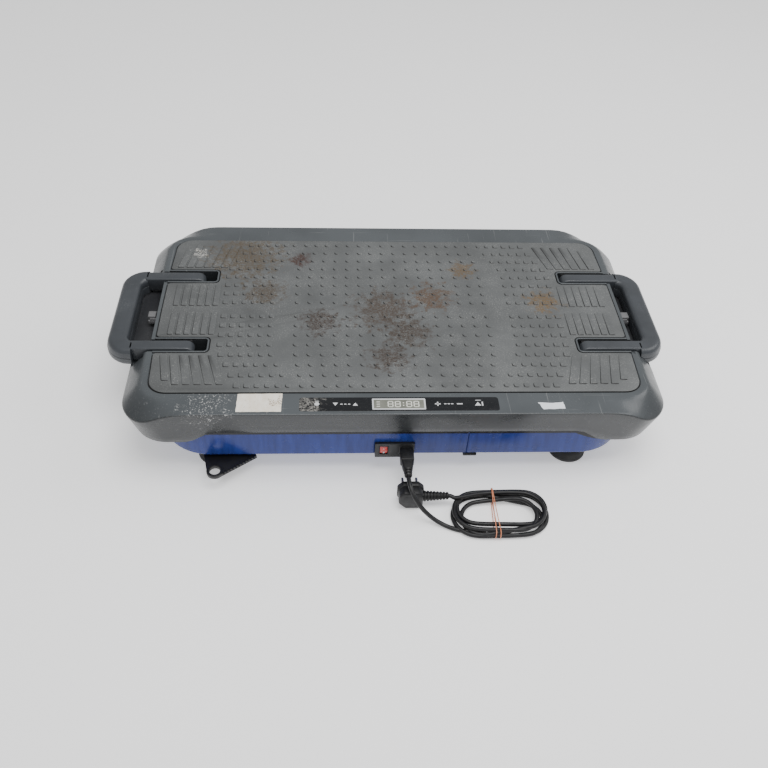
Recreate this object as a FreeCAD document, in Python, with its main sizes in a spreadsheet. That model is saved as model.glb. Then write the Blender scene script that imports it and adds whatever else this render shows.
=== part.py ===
import FreeCAD, Part

import math
import os
import re

import Sketcher

# Vibration plate: a rocking deck with a step mat and two pull-out handles on a low base.
# Frame: +Z up, X along the deck's length, the display and the mains inlet on the -Y side.
# The origin is on the floor, under the middle of the whole object with its left handle drawn out.

SIZES = {
    # levels above the floor
    "mat_top": 132, "deck_top": 130, "mat_bottom": 129, "skirt_low": 86, "skirt_end_low": 62,
    "shoulder_low": 104, "base_low": 32, "base_top": 102, "base_end_top": 80,
    # deck shell
    "deck_half_length": 368, "deck_half_depth": 212, "deck_corner": 50, "deck_draft": 12.8,
    "deck_wall": 2.5, "shoulder_start": 337, "crease_start": 268,
    "skirt_straight": 250, "skirt_end_start": 300, "corner_set_in": 7, "corner_share": 0.3,
    "corner_rise": 2,
    # step mat
    "mat_half_length": 333, "mat_half_depth": 172, "mat_corner": 24, "mat_slot_margin": 3.5,
    # handle wells and handles
    "slot_end": 261, "slot_centre": 78, "slot_width": 25, "slot_floor": 106.7, "notch_start": 339,
    "notch_half_width": 66, "grip_notch_start": 346, "grip_clearance": 3, "notch_floor": 103.5,
    "arm_width": 19, "arm_height": 22, "arm_gap": 3, "grip_reach": 387, "grip_thickness": 30,
    "grip_height": 26, "grip_start": 349, "grip_half_width": 95, "grip_corner": 36,
    "grip_inner_corner": 12, "grip_round": 8,
    "handle_pull": 15, "pin_radius": 4, "pin_clearance": 0.05, "slider_half_length": 8,
    "slider_gap": 0.4, "slider_plate": 2.3, "grip_split": 119,
    # end brackets between the arms
    "latch_reach": 354, "latch_half_width": 9, "latch_low": 110, "latch_height": 6,
    "latch_block": 11, "latch_block_height": 6, "latch_block_half_width": 6.3,
    # control strip and display
    "strip_half_length": 131, "strip_half_depth": 12.5, "strip_centre": 193.5, "strip_low": 129,
    "strip_top": 130.2, "window_low_x": -36, "window_length": 70, "window_depth": 23,
    "board_half_length": 122, "board_half_depth": 11, "board_thickness": 1.6,
    # base shell
    "base_half_length": 325, "base_half_depth": 195, "base_corner": 70, "base_draft": 2,
    "base_wall": 3, "base_cut_start": 245, "base_cut_end": 290,
    # feet and band lugs
    "foot_x": 251, "foot_y": 158, "foot_radius": 26.5, "foot_cup": 6, "foot_shoulder": 20,
    "neck_radius": 11, "foot_rim": 2, "foot_lip": 5, "foot_slope": 8, "foot_taper": 4,
    "recess_low": 3, "recess_top": 9, "recess_margin": 1.8, "foot_bore": 3.5,
    "screw_radius": 3, "screw_head": 6.2, "head_low": 5, "head_height": 4, "nut_height": 5,
    "shank_above": 6,
    "lug_low": 22.5, "lug_thickness": 5, "lug_bore_gap": 0.3, "lug_hub": 20, "lug_reach": 59,
    "lug_eye": 7.4, "lug_eye_rim": 4, "lug_eye_side": 4, "lug_corner_x": 59, "lug_corner_y": 33,
    "lug_back": 18, "lug_waist": 35.4, "lug_waist_in": 2, "rim_share": 0.98, "rim_slant": 0.7,
    "lug_overhang": 16,
    # power panel
    "panel_centre": -3, "panel_length": 54, "panel_height": 27, "panel_front": 199.5,
    "panel_back": 190, "inlet_centre": 13, "inlet_length": 21, "inlet_height": 19, "inlet_depth": 24,
    "panel_level": 46, "inlet_wall": 2, "connector_gap": 0.3, "switch_centre": -18,
    "switch_length": 10.6, "switch_height": 14.6, "switch_wall": 1.5, "rocker_gap": 0.3,
    "rocker_depth": 9, "rocker_pin": 1, "rocker_pin_gap": 0.05, "rocker_pin_back": 6,
    "rocker_side_gap": 0.2, "rocker_shy": 0.6, "rocker_edge": 0.9, "rocker_proud": 0.4,
    "rocker_taper": 0.72, "blade_length": 13, "blade_pitch": 5, "blade_rise": 2.5,
    "blade_half_thickness": 0.6, "blade_half_height": 2, "socket_back": 3,
    # centre pivot
    "pivot_level": 82, "pivot_radius": 6, "hub_y": 100, "hub_thickness": 10, "hub_radius": 15,
    "bush_wall": 2, "bracket_gap": 1, "bracket_thickness": 8, "bracket_half_width": 24,
    "frame_half_depth": 150, "frame_thickness": 4,
    "sole_half_depth": 15, "sole_thickness": 4, "frame_screw_y": 130,
    "frame_bore": 2.6, "frame_screw": 2.5, "frame_head": 4.5, "frame_head_height": 2.5,
    # crank shaft
    "crank_x": -150, "crank_level": 70, "shaft_radius": 8, "shaft_start": -58, "shaft_length": 130,
    "eccentric_radius": 12, "eccentric_throw": 2.5, "rod_bore": 18, "rod_radius": 24,
    "rod_thickness": 12, "rod_small_radius": 9, "rod_pin_level": 104, "rod_pin_radius": 4,
    "rod_pin_overhang": 8.5, "ear_gap": 0.5, "ear_thickness": 8, "ear_half_width": 10,
    "ear_drop": 9, "front_block_y": -42, "rear_block_y": 58, "block_thickness": 14,
    "bearing_radius": 16, "block_half_width": 24, "block_crown": 6, "crank_clearance": 0.05,
    # motor and belt
    "motor_x": 130, "motor_radius": 34, "motor_back": -70, "motor_length": 92,
    "motor_shaft_radius": 4, "shaft_bore_depth": 30, "shaft_depth": 28, "face_plate": 4,
    "face_top": 94.4, "motor_margin": 2, "motor_sole": 60, "motor_sole_height": 3,
    "drive_radius": 12, "driven_radius": 30,
    "pulley_y": 37, "pulley_width": 12, "pulley_flange": 2, "belt_width": 10, "belt_thickness": 2.5,
    "belt_gap": 0.3,
    # buffers
    "buffer_x": 212, "buffer_y": 118, "buffer_radius": 15, "post_radius": 12, "post_top": 95,
    "buffer_top": 116,
    # driver board
    "driver_x": 110, "driver_y": 92, "driver_half_length": 42, "driver_half_depth": 30,
    "driver_level": 43, "spacer_radius": 4, "spacer_inset": 6,
    # cord
    "cord_radius": 3.1, "coil_x": 136, "coil_y": -279.5, "coil_half_length": 69,
    "coil_half_depth": 39, "coil_hole_length": 43, "coil_hole_depth": 13, "coil_low": 1.4,
    "coil_top": 16, "tie_thickness": 1.2, "tie_width": 5, "tie_x": 129, "plug_x": 17,
    "plug_half_width": 18, "plug_front": -266, "plug_back": -244, "plug_top": 35,
    "relief_end": 69, "relief_level": 17, "relief_y": -256, "relief_large": 8, "relief_small": 5,
    "prong_radius": 2.4, "prong_length": 19, "prong_pitch": 19, "connector_front": -232,
    "connector_width": 18.6, "connector_height": 14.5, "connector_end": -247,
    "connector_seat": 4, "connector_face_gap": 0.3, "connector_relief": 7.2, "relief_root": 2,
    "plug_crown_x": 7.2, "plug_crown_z": 7.7, "plug_foot_x": 4.5, "plug_foot_z": 7,
    "plug_bevel_x": 9.9, "plug_bevel_z": 11.2, "plug_root": 4,
    # sizes that follow others
    "frame_half_length": "slot_end - 21", "frame_screw_x": "frame_half_length - 20",
    "motor_level": "base_low + base_wall + motor_sole_height + motor_margin + motor_radius",
}

doc = FreeCAD.newDocument("VibrationPlate")
sheet = doc.addObject("Spreadsheet::Sheet", "Sizes")
for row, (alias, number) in enumerate(SIZES.items(), start=1):
    sheet.set(f"A{row}", alias)
    sheet.set(f"B{row}", f"={number}" if isinstance(number, str) else str(number))
    sheet.setAlias(f"B{row}", alias)
doc.recompute()

NODES = []
XY, XZ, YZ = "XY_Plane", "XZ_Plane", "YZ_Plane"
# The whole object is moved so that the origin is under its middle.
SHIFT = {"x": "handle_pull / 2", "y": "lug_overhang / 2", "z": "0"}
SIDES = {"left": -1, "right": 1}


def bind(text):
    """An expression over the sheet's aliases, as the document's expressions want it."""
    return re.sub(r"[a-z][a-z_]+", lambda m: "Sizes." + m[0] if m[0] in SIZES else m[0], text)


def value(text):
    """The number an expression over the sheet's aliases stands for."""
    return float(sheet.evalExpression(bind(text)))


def size(item, **texts):
    """Binds an object's properties to the sheet."""
    for name, text in texts.items():
        item.setExpression(name, bind(text))
    return item


def place(item, x="0", y="0", z="0", tilt=None):
    """Puts an object at a place in the object's own frame, turned by tilt first."""
    if tilt:
        item.Placement = FreeCAD.Placement(FreeCAD.Vector(), tilt)
    for axis, text in (("x", x), ("y", y), ("z", z)):
        item.setExpression(f"Placement.Base.{axis}", bind(f"{SHIFT[axis]} + ({text})"))
    return item


def node(item, name):
    """Marks an object as a sub-part of that name."""
    item.Label = name
    NODES.append(item)
    return item


def box(x, y, z):
    """A box from three (low, high) pairs."""
    item = doc.addObject("Part::Box", "Box")
    size(item, Length=f"({x[1]}) - ({x[0]})", Width=f"({y[1]}) - ({y[0]})", Height=f"({z[1]}) - ({z[0]})")
    return place(item, x[0], y[0], z[0])


def block(x, y, half_x, half_y, z):
    """A box around a centre."""
    return box(
        (f"{x} - ({half_x})", f"{x} + ({half_x})"), (f"{y} - ({half_y})", f"{y} + ({half_y})"), z
    )


TURN = {
    "z": FreeCAD.Rotation(),
    "y": FreeCAD.Rotation(FreeCAD.Vector(1, 0, 0), -90),
    "x": FreeCAD.Rotation(FreeCAD.Vector(0, 1, 0), 90),
}


def rod(radius, start, length, axis="z", **at):
    """A cylinder that starts at that value along its axis; at gives its other two coordinates."""
    item = doc.addObject("Part::Cylinder", "Rod")
    size(item, Radius=radius, Height=length)
    return place(item, **{axis: start, **at}, tilt=TURN[axis])


def taper_rod(large, small, start, length, axis, **at):
    """A cone that starts at that value along its axis."""
    item = doc.addObject("Part::Cone", "TaperRod")
    size(item, Radius1=large, Radius2=small, Height=length)
    return place(item, **{axis: start, **at}, tilt=TURN[axis])


def fuse(*parts):
    item = doc.addObject("Part::MultiFuse", "Union")
    item.Shapes = list(parts)
    item.Refine = True
    return item


def cut(base, *tools):
    item = doc.addObject("Part::Cut", "Difference")
    item.Base = base
    item.Tool = tools[0] if len(tools) == 1 else fuse(*tools)
    return item


def common(first, second):
    item = doc.addObject("Part::Common", "Overlap")
    item.Base = first
    item.Tool = second
    return item


def group(*parts):
    """Separate solids that share one node."""
    item = doc.addObject("Part::Compound", "Group")
    item.Links = list(parts)
    return item


def outline(body, plane, points):
    """A closed sketch through points that are pairs of expressions, on the body's own plane."""
    sketch = body.newObject("Sketcher::SketchObject", "Outline")
    sketch.AttachmentSupport = [
        (next(o for o in body.Origin.OriginFeatures if o.Role == plane), "")
    ]
    sketch.MapMode = "FlatFace"
    corners = [FreeCAD.Vector(value(u), value(v), 0) for u, v in points]
    count = len(points)
    for i in range(count):
        sketch.addGeometry(Part.LineSegment(corners[i], corners[(i + 1) % count]), False)
    for i in range(count):
        sketch.addConstraint(Sketcher.Constraint("Coincident", i, 2, (i + 1) % count, 1))
    for i, (u, v) in enumerate(points):
        for kind, text, number in (("DistanceX", u, corners[i].x), ("DistanceY", v, corners[i].y)):
            index = sketch.addConstraint(Sketcher.Constraint(kind, -1, 1, i, 1, number))
            sketch.setExpression(f"Constraints[{index}]", bind(text))
    return sketch


def prism(plane, points, depth, x="0", y="0", z="0"):
    """A polygon drawn on a plane and padded to both sides of it."""
    body = doc.addObject("PartDesign::Body", "Prism")
    pad = body.newObject("PartDesign::Pad", "Pad")
    pad.Profile = outline(body, plane, points)
    pad.Midplane = True
    size(pad, Length=depth)
    body.Tip = pad
    return place(body, x, y, z)


def turned(points, x="0", y="0", z="0"):
    """A (radius, height) outline turned about a vertical axis."""
    body = doc.addObject("PartDesign::Body", "Turned")
    sketch = outline(body, XZ, points)
    turn = body.newObject("PartDesign::Revolution", "Revolution")
    turn.Profile = sketch
    turn.ReferenceAxis = (sketch, ["V_Axis"])
    turn.Angle = 360
    body.Tip = turn
    return place(body, x, y, z)


def plate(half_x, half_y, corner, low, high, draft=None, edge=None, x="0", y="0"):
    """A rounded rectangle between two levels, wider or narrower at the top by a draft angle."""
    body = doc.addObject("PartDesign::Body", "Plate")
    pad = body.newObject("PartDesign::Pad", "Pad")
    pad.Profile = outline(
        body, XY,
        [(f"-({half_x})", f"-({half_y})"), (half_x, f"-({half_y})"),
         (half_x, half_y), (f"-({half_x})", half_y)],
    )
    size(pad, Length=f"({high}) - ({low})")
    if draft:
        size(pad, TaperAngle=draft)
    doc.recompute()
    upright = [
        f"Edge{i}" for i, e in enumerate(pad.Shape.Edges, start=1) if e.BoundBox.ZLength > 0.1
    ]
    rounded = body.newObject("PartDesign::Fillet", "Corners")
    rounded.Base = (pad, upright)
    size(rounded, Radius=corner)
    body.Tip = rounded
    if edge:
        doc.recompute()
        flat = [f"Edge{i}" for i, e in enumerate(rounded.Shape.Edges, start=1)
                if e.BoundBox.ZLength < 0.1]
        soft = body.newObject("PartDesign::Fillet", "Edges")
        soft.Base = (rounded, flat)
        size(soft, Radius=edge)
        body.Tip = soft
    return place(body, x, y, low)


def beyond(a, b, c):
    """A large block whose lower face passes through three points, lying on the upper side."""
    a, b, c = (FreeCAD.Vector(*(value(t) for t in point)) for point in (a, b, c))
    up = (b - a).cross(c - a)
    up = up if up.z > 0 else up * -1
    turn = FreeCAD.Rotation(FreeCAD.Vector(0, 0, 1), up)
    reach = value("deck_half_length")
    item = doc.addObject("Part::Box", "Slope")
    item.Length = item.Width = 2 * reach
    item.Height = reach
    corner = turn.multVec(FreeCAD.Vector(-reach, -reach, 0)) + a
    shift = FreeCAD.Vector(*(value(SHIFT[axis]) for axis in "xyz"))
    item.Placement = FreeCAD.Placement(corner + shift, turn)
    return item


# ---------------------------------------------------------------- deck shell and mat


def deck_form(inset, bottom):
    """The deck's outer form, or with an inset the hollow inside it."""
    drop = "(deck_top - skirt_end_low) * tan(deck_draft)"
    end_drop = "(shoulder_low - skirt_end_low) * tan(deck_draft)"
    form = plate(
        f"deck_half_length - {end_drop} - {inset}", f"deck_half_depth - {drop} - {inset}",
        f"deck_corner - {inset}", bottom, f"deck_top - {inset}", draft="deck_draft",
    )
    slopes = []
    for sx in (-1, 1):
        start = f"{sx} * (shoulder_start - {inset})"
        edge = f"{sx} * (deck_half_length - {inset})"
        top = f"deck_top - {inset}"
        low = f"shoulder_low - {inset}"
        slopes.append(beyond((start, "0", top), (start, "100", top), (edge, "0", low)))
        for sy in (-1, 1):
            crease = (f"{sx} * (crease_start - {inset})", f"{sy} * (deck_half_depth - {inset})", top)
            inner = (start, f"{sy} * (deck_half_depth - deck_corner - corner_set_in - {inset})", top)
            outer = (f"{sx} * (deck_half_length - deck_corner * corner_share - {inset})",
                     f"{sy} * (deck_half_depth - deck_corner * corner_share - {inset})",
                     f"shoulder_low + corner_rise - {inset}")
            slopes.append(beyond(crease, inner, outer))
    return cut(form, *slopes)


def wells(grow):
    """The handle slots and the notches in the deck's ends, grown by a wall where they are lined."""
    holes = []
    far = "deck_half_length + 20"
    for sx in (-1, 1):
        def span(low, high=far):
            ends = (f"{low} - {grow}", high)
            return ends if sx > 0 else (f"-({ends[1]})", f"-({ends[0]})")
        for sy in (-1, 1):
            half = f"slot_width / 2 + {grow}"
            holes.append(box(span("slot_end"), (f"{sy} * slot_centre - ({half})",
                         f"{sy} * slot_centre + ({half})"), (f"slot_floor - {grow}", "deck_top + 10")))
        for start, half in (("notch_start", "notch_half_width"),
                            ("grip_notch_start", "grip_half_width + grip_clearance")):
            holes.append(box(span(start), (f"-({half}) - {grow}", f"{half} + {grow}"),
                             (f"notch_floor - {grow}", "deck_top + 10")))
    return fuse(*holes)


def step_mat():
    sheet_form = plate("mat_half_length", "mat_half_depth", "mat_corner", "mat_bottom", "mat_top")
    half = "slot_width / 2 + mat_slot_margin"
    gaps = []
    for sx in (-1, 1):
        near, far = "slot_end - mat_slot_margin", "mat_half_length + 5"
        ends = (near, far) if sx > 0 else (f"-({far})", f"-({near})")
        for sy in (-1, 1):
            gaps.append(box(ends, (f"{sy} * slot_centre - ({half})", f"{sy} * slot_centre + ({half})"),
                            ("mat_bottom - 1", "mat_top + 1")))
    return cut(sheet_form, *gaps)


def deck_shell(mat):
    outer = deck_form("0", "skirt_end_low")
    hollow = deck_form("deck_wall", "skirt_end_low - 1")
    arch = prism(
        XZ,
        [("-skirt_end_start", "skirt_end_low - 5"), ("-skirt_end_start", "skirt_end_low"),
         ("-skirt_straight", "skirt_low"), ("skirt_straight", "skirt_low"),
         ("skirt_end_start", "skirt_end_low"), ("skirt_end_start", "skirt_end_low - 5")],
        "3 * deck_half_depth",
    )
    strip_bed = block("0", "-strip_centre", "strip_half_length", "strip_half_depth",
                      ("strip_low", "deck_top + 1"))
    inside = cut(hollow, wells("deck_wall"))
    return cut(outer, arch, wells("0"), inside, mat, strip_bed)


mat = node(step_mat(), "step_mat")
node(deck_shell(mat), "deck_shell")


def control_panel():
    window_x = ("window_low_x", "window_low_x + window_length")
    window_y = ("-strip_centre - window_depth / 2", "-strip_centre + window_depth / 2")
    strip = block("0", "-strip_centre", "strip_half_length", "strip_half_depth",
                  ("strip_low", "strip_top"))
    opening = box(window_x, window_y, ("strip_low - 1", "strip_top + 1"))
    node(cut(strip, opening), "control_strip")
    node(box(window_x, window_y, ("strip_low", "strip_top")), "display_window")
    under = "deck_top - deck_wall"
    node(block("0", "-strip_centre + 4", "board_half_length", "board_half_depth",
               (f"{under} - board_thickness", under)), "display_board")


control_panel()

# ---------------------------------------------------------------- handles


def handle(side):
    """A U-shaped handle: two arms on pivot pins in sliders, and a grip of two shells."""
    sx = SIDES[side]
    out = "handle_pull" if side == "left" else "0"

    def along(distance):
        return f"{sx} * ({distance} + {out})"

    def span(low, high):
        ends = (along(low), along(high))
        return ends if sx > 0 else (ends[1], ends[0])

    pivot = "slot_end + arm_gap + arm_height / 2"
    level = "mat_top - arm_height / 2"
    arms, sliders, pins = [], [], []
    for sy in (-1, 1):
        y = f"{sy} * slot_centre"
        bar = block(along(f"({pivot} + grip_start) / 2"), y, f"(grip_start - ({pivot})) / 2",
                    "arm_width / 2", ("mat_top - arm_height", "mat_top"))
        nose = rod("arm_height / 2", f"{y} - arm_width / 2", "arm_width", "y", x=along(pivot), z=level)
        bore = rod("pin_radius + pin_clearance", f"{y} - arm_width", "2 * arm_width", "y",
                   x=along(pivot), z=level)
        arms.append(cut(fuse(bar, nose), bore))
        body = block(along(pivot), y, "slider_half_length", "slot_width / 2 - slider_gap",
                     ("slot_floor + slider_gap", "mat_top - 3"))
        throat = block(along(pivot), y, "slider_half_length + 1", "arm_width / 2 + slider_gap",
                       ("slot_floor + slider_plate", "mat_top + 1"))
        seat = rod("pin_radius", f"{y} - slot_width", "2 * slot_width", "y", x=along(pivot), z=level)
        sliders.append(cut(body, throat, seat))
        pins.append(rod("pin_radius", f"{y} - (slot_width / 2 - slider_gap)",
                        "slot_width - 2 * slider_gap", "y", x=along(pivot), z=level))
    node(group(*arms), f"{side}_handle_arms")
    node(group(*sliders), f"{side}_handle_sliders")
    node(group(*pins), f"{side}_handle_pins")

    hand_low = "mat_top - grip_height"
    length = "grip_reach - grip_start + grip_corner"
    centre = along(f"grip_reach - ({length}) / 2")
    loop = plate(f"({length}) / 2", "grip_half_width", "grip_corner", hand_low, "mat_top",
                 edge="grip_round", x=centre)
    inner = plate(f"({length}) / 2", "slot_centre - arm_width / 2", "grip_inner_corner",
                  f"{hand_low} - 1", "mat_top + 1",
                  x=along(f"grip_reach - grip_thickness - ({length}) / 2"))
    behind = box(span("grip_start - 2 * grip_corner", "grip_start"),
                 ("-2 * grip_half_width", "2 * grip_half_width"), (f"{hand_low} - 1", "mat_top + 1"))
    grip = cut(loop, inner, behind)
    levels = {"upper": ("grip_split", "mat_top + 1"), "lower": (f"{hand_low} - 1", "grip_split")}
    for half, heights in levels.items():
        zone = box(span("grip_start - grip_round", "grip_reach + grip_round"),
                   ("-2 * grip_half_width", "2 * grip_half_width"), heights)
        node(common(grip, zone), f"{side}_grip_{half}")


def latch(side):
    """The bracket on the end wall between a handle's arms, with its stop block."""
    sx = SIDES[side]

    def span(low, high):
        ends = (f"{sx} * ({low})", f"{sx} * ({high})")
        return ends if sx > 0 else (ends[1], ends[0])

    width = ("-latch_half_width", "latch_half_width")
    top = "latch_low + latch_height"
    arm = box(span("notch_start", "latch_reach"), width, ("latch_low", top))
    stop = box(span("latch_reach - latch_block", "latch_reach"),
               ("-latch_block_half_width", "latch_block_half_width"), (top, f"{top} + latch_block_height"))
    node(fuse(arm, stop), f"{side}_end_bracket")


for side in SIDES:
    handle(side)
    latch(side)

# ---------------------------------------------------------------- base shell, feet and lugs

FEET = {"front_left": (-1, -1), "front_right": (1, -1), "rear_left": (-1, 1), "rear_right": (1, 1)}


def base_shell():
    outer = plate("base_half_length", "base_half_depth", "base_corner", "base_low", "base_top",
                  draft="base_draft")
    inner = plate("base_half_length - base_wall", "base_half_depth - base_wall",
                  "base_corner - base_wall", "base_low + base_wall", "base_top + 1", draft="base_draft")
    holes = []
    for sx in (-1, 1):
        holes.append(prism(
            XZ,
            [(f"{sx} * base_cut_start", "base_top"), (f"{sx} * base_cut_end", "base_end_top"),
             (f"{sx} * (base_half_length + 20)", "base_end_top"),
             (f"{sx} * (base_half_length + 20)", "base_top + 9"),
             (f"{sx} * base_cut_start", "base_top + 9")],
            "3 * base_half_depth",
        ))
    for sx, sy in FEET.values():
        holes.append(rod("foot_bore", "base_low - 1", "base_wall + 2", x=f"{sx} * foot_x",
                         y=f"{sy} * foot_y"))
    holes.append(block("panel_centre", "-base_half_depth", "panel_length / 2", "20",
                       ("base_low - 1", "base_low + panel_height")))
    return cut(outer, inner, *holes)


node(base_shell(), "base_shell")


def feet():
    screws, nuts = [], []
    for name, (sx, sy) in FEET.items():
        x, y = f"{sx} * foot_x", f"{sy} * foot_y"
        node(turned(
            [("foot_bore", "recess_top"), ("screw_head + recess_margin", "recess_top"),
             ("screw_head + recess_margin", "recess_low"), ("foot_radius - foot_lip", "recess_low"),
             ("foot_radius - foot_rim", "0"), ("foot_radius", "0"), ("foot_radius", "foot_cup"),
             ("foot_radius - foot_taper", "foot_cup + foot_slope"),
             ("neck_radius + foot_taper", "foot_shoulder"), ("neck_radius", "foot_shoulder"),
             ("neck_radius", "base_low"), ("foot_bore", "base_low")],
            x, y), f"foot_{name}")
        head = rod("screw_head", "head_low", "head_height", x=x, y=y)
        shank = rod("screw_radius", "head_low", "base_low + base_wall + shank_above - head_low", x=x, y=y)
        screws.append(fuse(head, shank))
        ring = rod("screw_head", "base_low + base_wall", "nut_height", x=x, y=y)
        nuts.append(cut(ring, rod("screw_radius", "base_low", "4 * nut_height", x=x, y=y)))
    node(group(*screws), "foot_screws")
    node(group(*nuts), "foot_nuts")


feet()


def band_lug(side):
    """A flat lug that swings out around a front foot's neck, with an eye for a training band."""
    sx = SIDES[side]
    out = side == "left"
    # the left lug points to the front, the right one is swung in under the base
    ux, uy = ("0", "-1") if out else ("-1", "0")
    vx, vy = ("1", "0") if out else ("0", "1")

    def at(u, v):
        return (f"{sx} * foot_x + ({ux}) * ({u}) + ({vx}) * ({v})",
                f"-foot_y + ({uy}) * ({u}) + ({vy}) * ({v})")

    low, thick = "lug_low", "lug_thickness"
    eye_rim = "(lug_eye + lug_eye_rim)"
    web_points = [
        at("0", "-lug_hub"), at("lug_reach", f"lug_eye_side - {eye_rim} * rim_share"),
        at(f"lug_reach + {eye_rim} * rim_slant", f"lug_eye_side + {eye_rim} * rim_slant"),
        at("lug_corner_y", "lug_corner_x"), at("-lug_waist_in", "lug_waist"), at("-lug_back", "0"),
    ]
    web = prism(XY, web_points, thick, z=f"{low} + {thick} / 2")
    ex, ey = at("lug_reach", "lug_eye_side")
    hub = rod("lug_hub", low, thick, x=f"{sx} * foot_x", y="-foot_y")
    rim = rod(eye_rim, low, thick, x=ex, y=ey)
    bore = rod("neck_radius + lug_bore_gap", f"{low} - 1", f"{thick} + 2",
               x=f"{sx} * foot_x", y="-foot_y")
    eye = rod("lug_eye", f"{low} - 1", f"{thick} + 2", x=ex, y=ey)
    node(cut(fuse(web, hub, rim), bore, eye), f"band_lug_{side}")


for side in SIDES:
    band_lug(side)

# ---------------------------------------------------------------- power panel


def power_panel():
    low, high = "base_low", "base_low + panel_height"
    front, back = "-panel_front", "-panel_back"
    plate_form = block("panel_centre", "-(panel_front + panel_back) / 2", "panel_length / 2",
                       "(panel_front - panel_back) / 2", (low, high))
    inlet_hole = block("inlet_centre", front, "inlet_length / 2", "20",
                       ("panel_level - inlet_height / 2", "panel_level + inlet_height / 2"))
    half_long, half_tall = "switch_length / 2 + switch_wall", "switch_height / 2 + switch_wall"
    switch_hole = block("switch_centre", front, half_long, "20",
                        (f"panel_level - ({half_tall})", f"panel_level + ({half_tall})"))
    node(cut(plate_form, inlet_hole, switch_hole), "power_panel")

    deep = f"{front} + inlet_depth"
    body = block("inlet_centre", f"{front} + inlet_depth / 2", "inlet_length / 2", "inlet_depth / 2",
                 ("panel_level - inlet_height / 2", "panel_level + inlet_height / 2"))
    recess = block("inlet_centre", front, "inlet_length / 2 - inlet_wall", "inlet_depth - socket_back",
                   ("panel_level - inlet_height / 2 + inlet_wall",
                    "panel_level + inlet_height / 2 - inlet_wall"))
    node(cut(body, recess), "inlet_socket")
    blades = []
    for step, rise in ((-1, 0), (0, 1), (1, 0)):
        middle = f"panel_level + {rise} * blade_rise"
        blades.append(block(f"inlet_centre + {step} * blade_pitch",
                            f"{deep} - socket_back - blade_length / 2",
                            "blade_half_thickness", "blade_length / 2",
                            (f"{middle} - blade_half_height", f"{middle} + blade_half_height")))
    node(group(*blades), "inlet_blades")

    frame = block("switch_centre", f"{front} + rocker_depth", half_long, "rocker_depth",
                  (f"panel_level - ({half_tall})", f"panel_level + ({half_tall})"))
    well = block("switch_centre", front, "switch_length / 2 + rocker_gap", "2 * rocker_depth - 2",
                 ("panel_level - switch_height / 2 - rocker_gap",
                  "panel_level + switch_height / 2 + rocker_gap"))
    axle_y = f"{front} + rocker_pin_back"
    seat = rod("rocker_pin + rocker_pin_gap", "switch_centre - switch_length", "2 * switch_length", "x",
               y=axle_y, z="panel_level")
    node(cut(frame, well, seat), "switch_housing")
    half = "switch_height / 2 - rocker_shy"
    rocker = prism(
        YZ,
        [(f"{front} - rocker_proud", "panel_level"),
         (f"{front} + rocker_edge", f"panel_level + {half}"),
         (f"{front} + rocker_depth", f"panel_level + ({half}) * rocker_taper"),
         (f"{front} + rocker_depth", f"panel_level - ({half}) * rocker_taper"),
         (f"{front} + rocker_edge", f"panel_level - ({half})")],
        "switch_length - 2 * rocker_side_gap", x="switch_centre",
    )
    axle = rod("rocker_pin", "switch_centre - switch_length / 2 - switch_wall + rocker_side_gap",
               "switch_length + 2 * switch_wall - 2 * rocker_side_gap", "x",
               y=axle_y, z="panel_level")
    node(fuse(rocker, axle), "rocker_switch")


power_panel()

# ---------------------------------------------------------------- centre pivot and deck frame

FLOOR = "base_low + base_wall"


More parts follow.
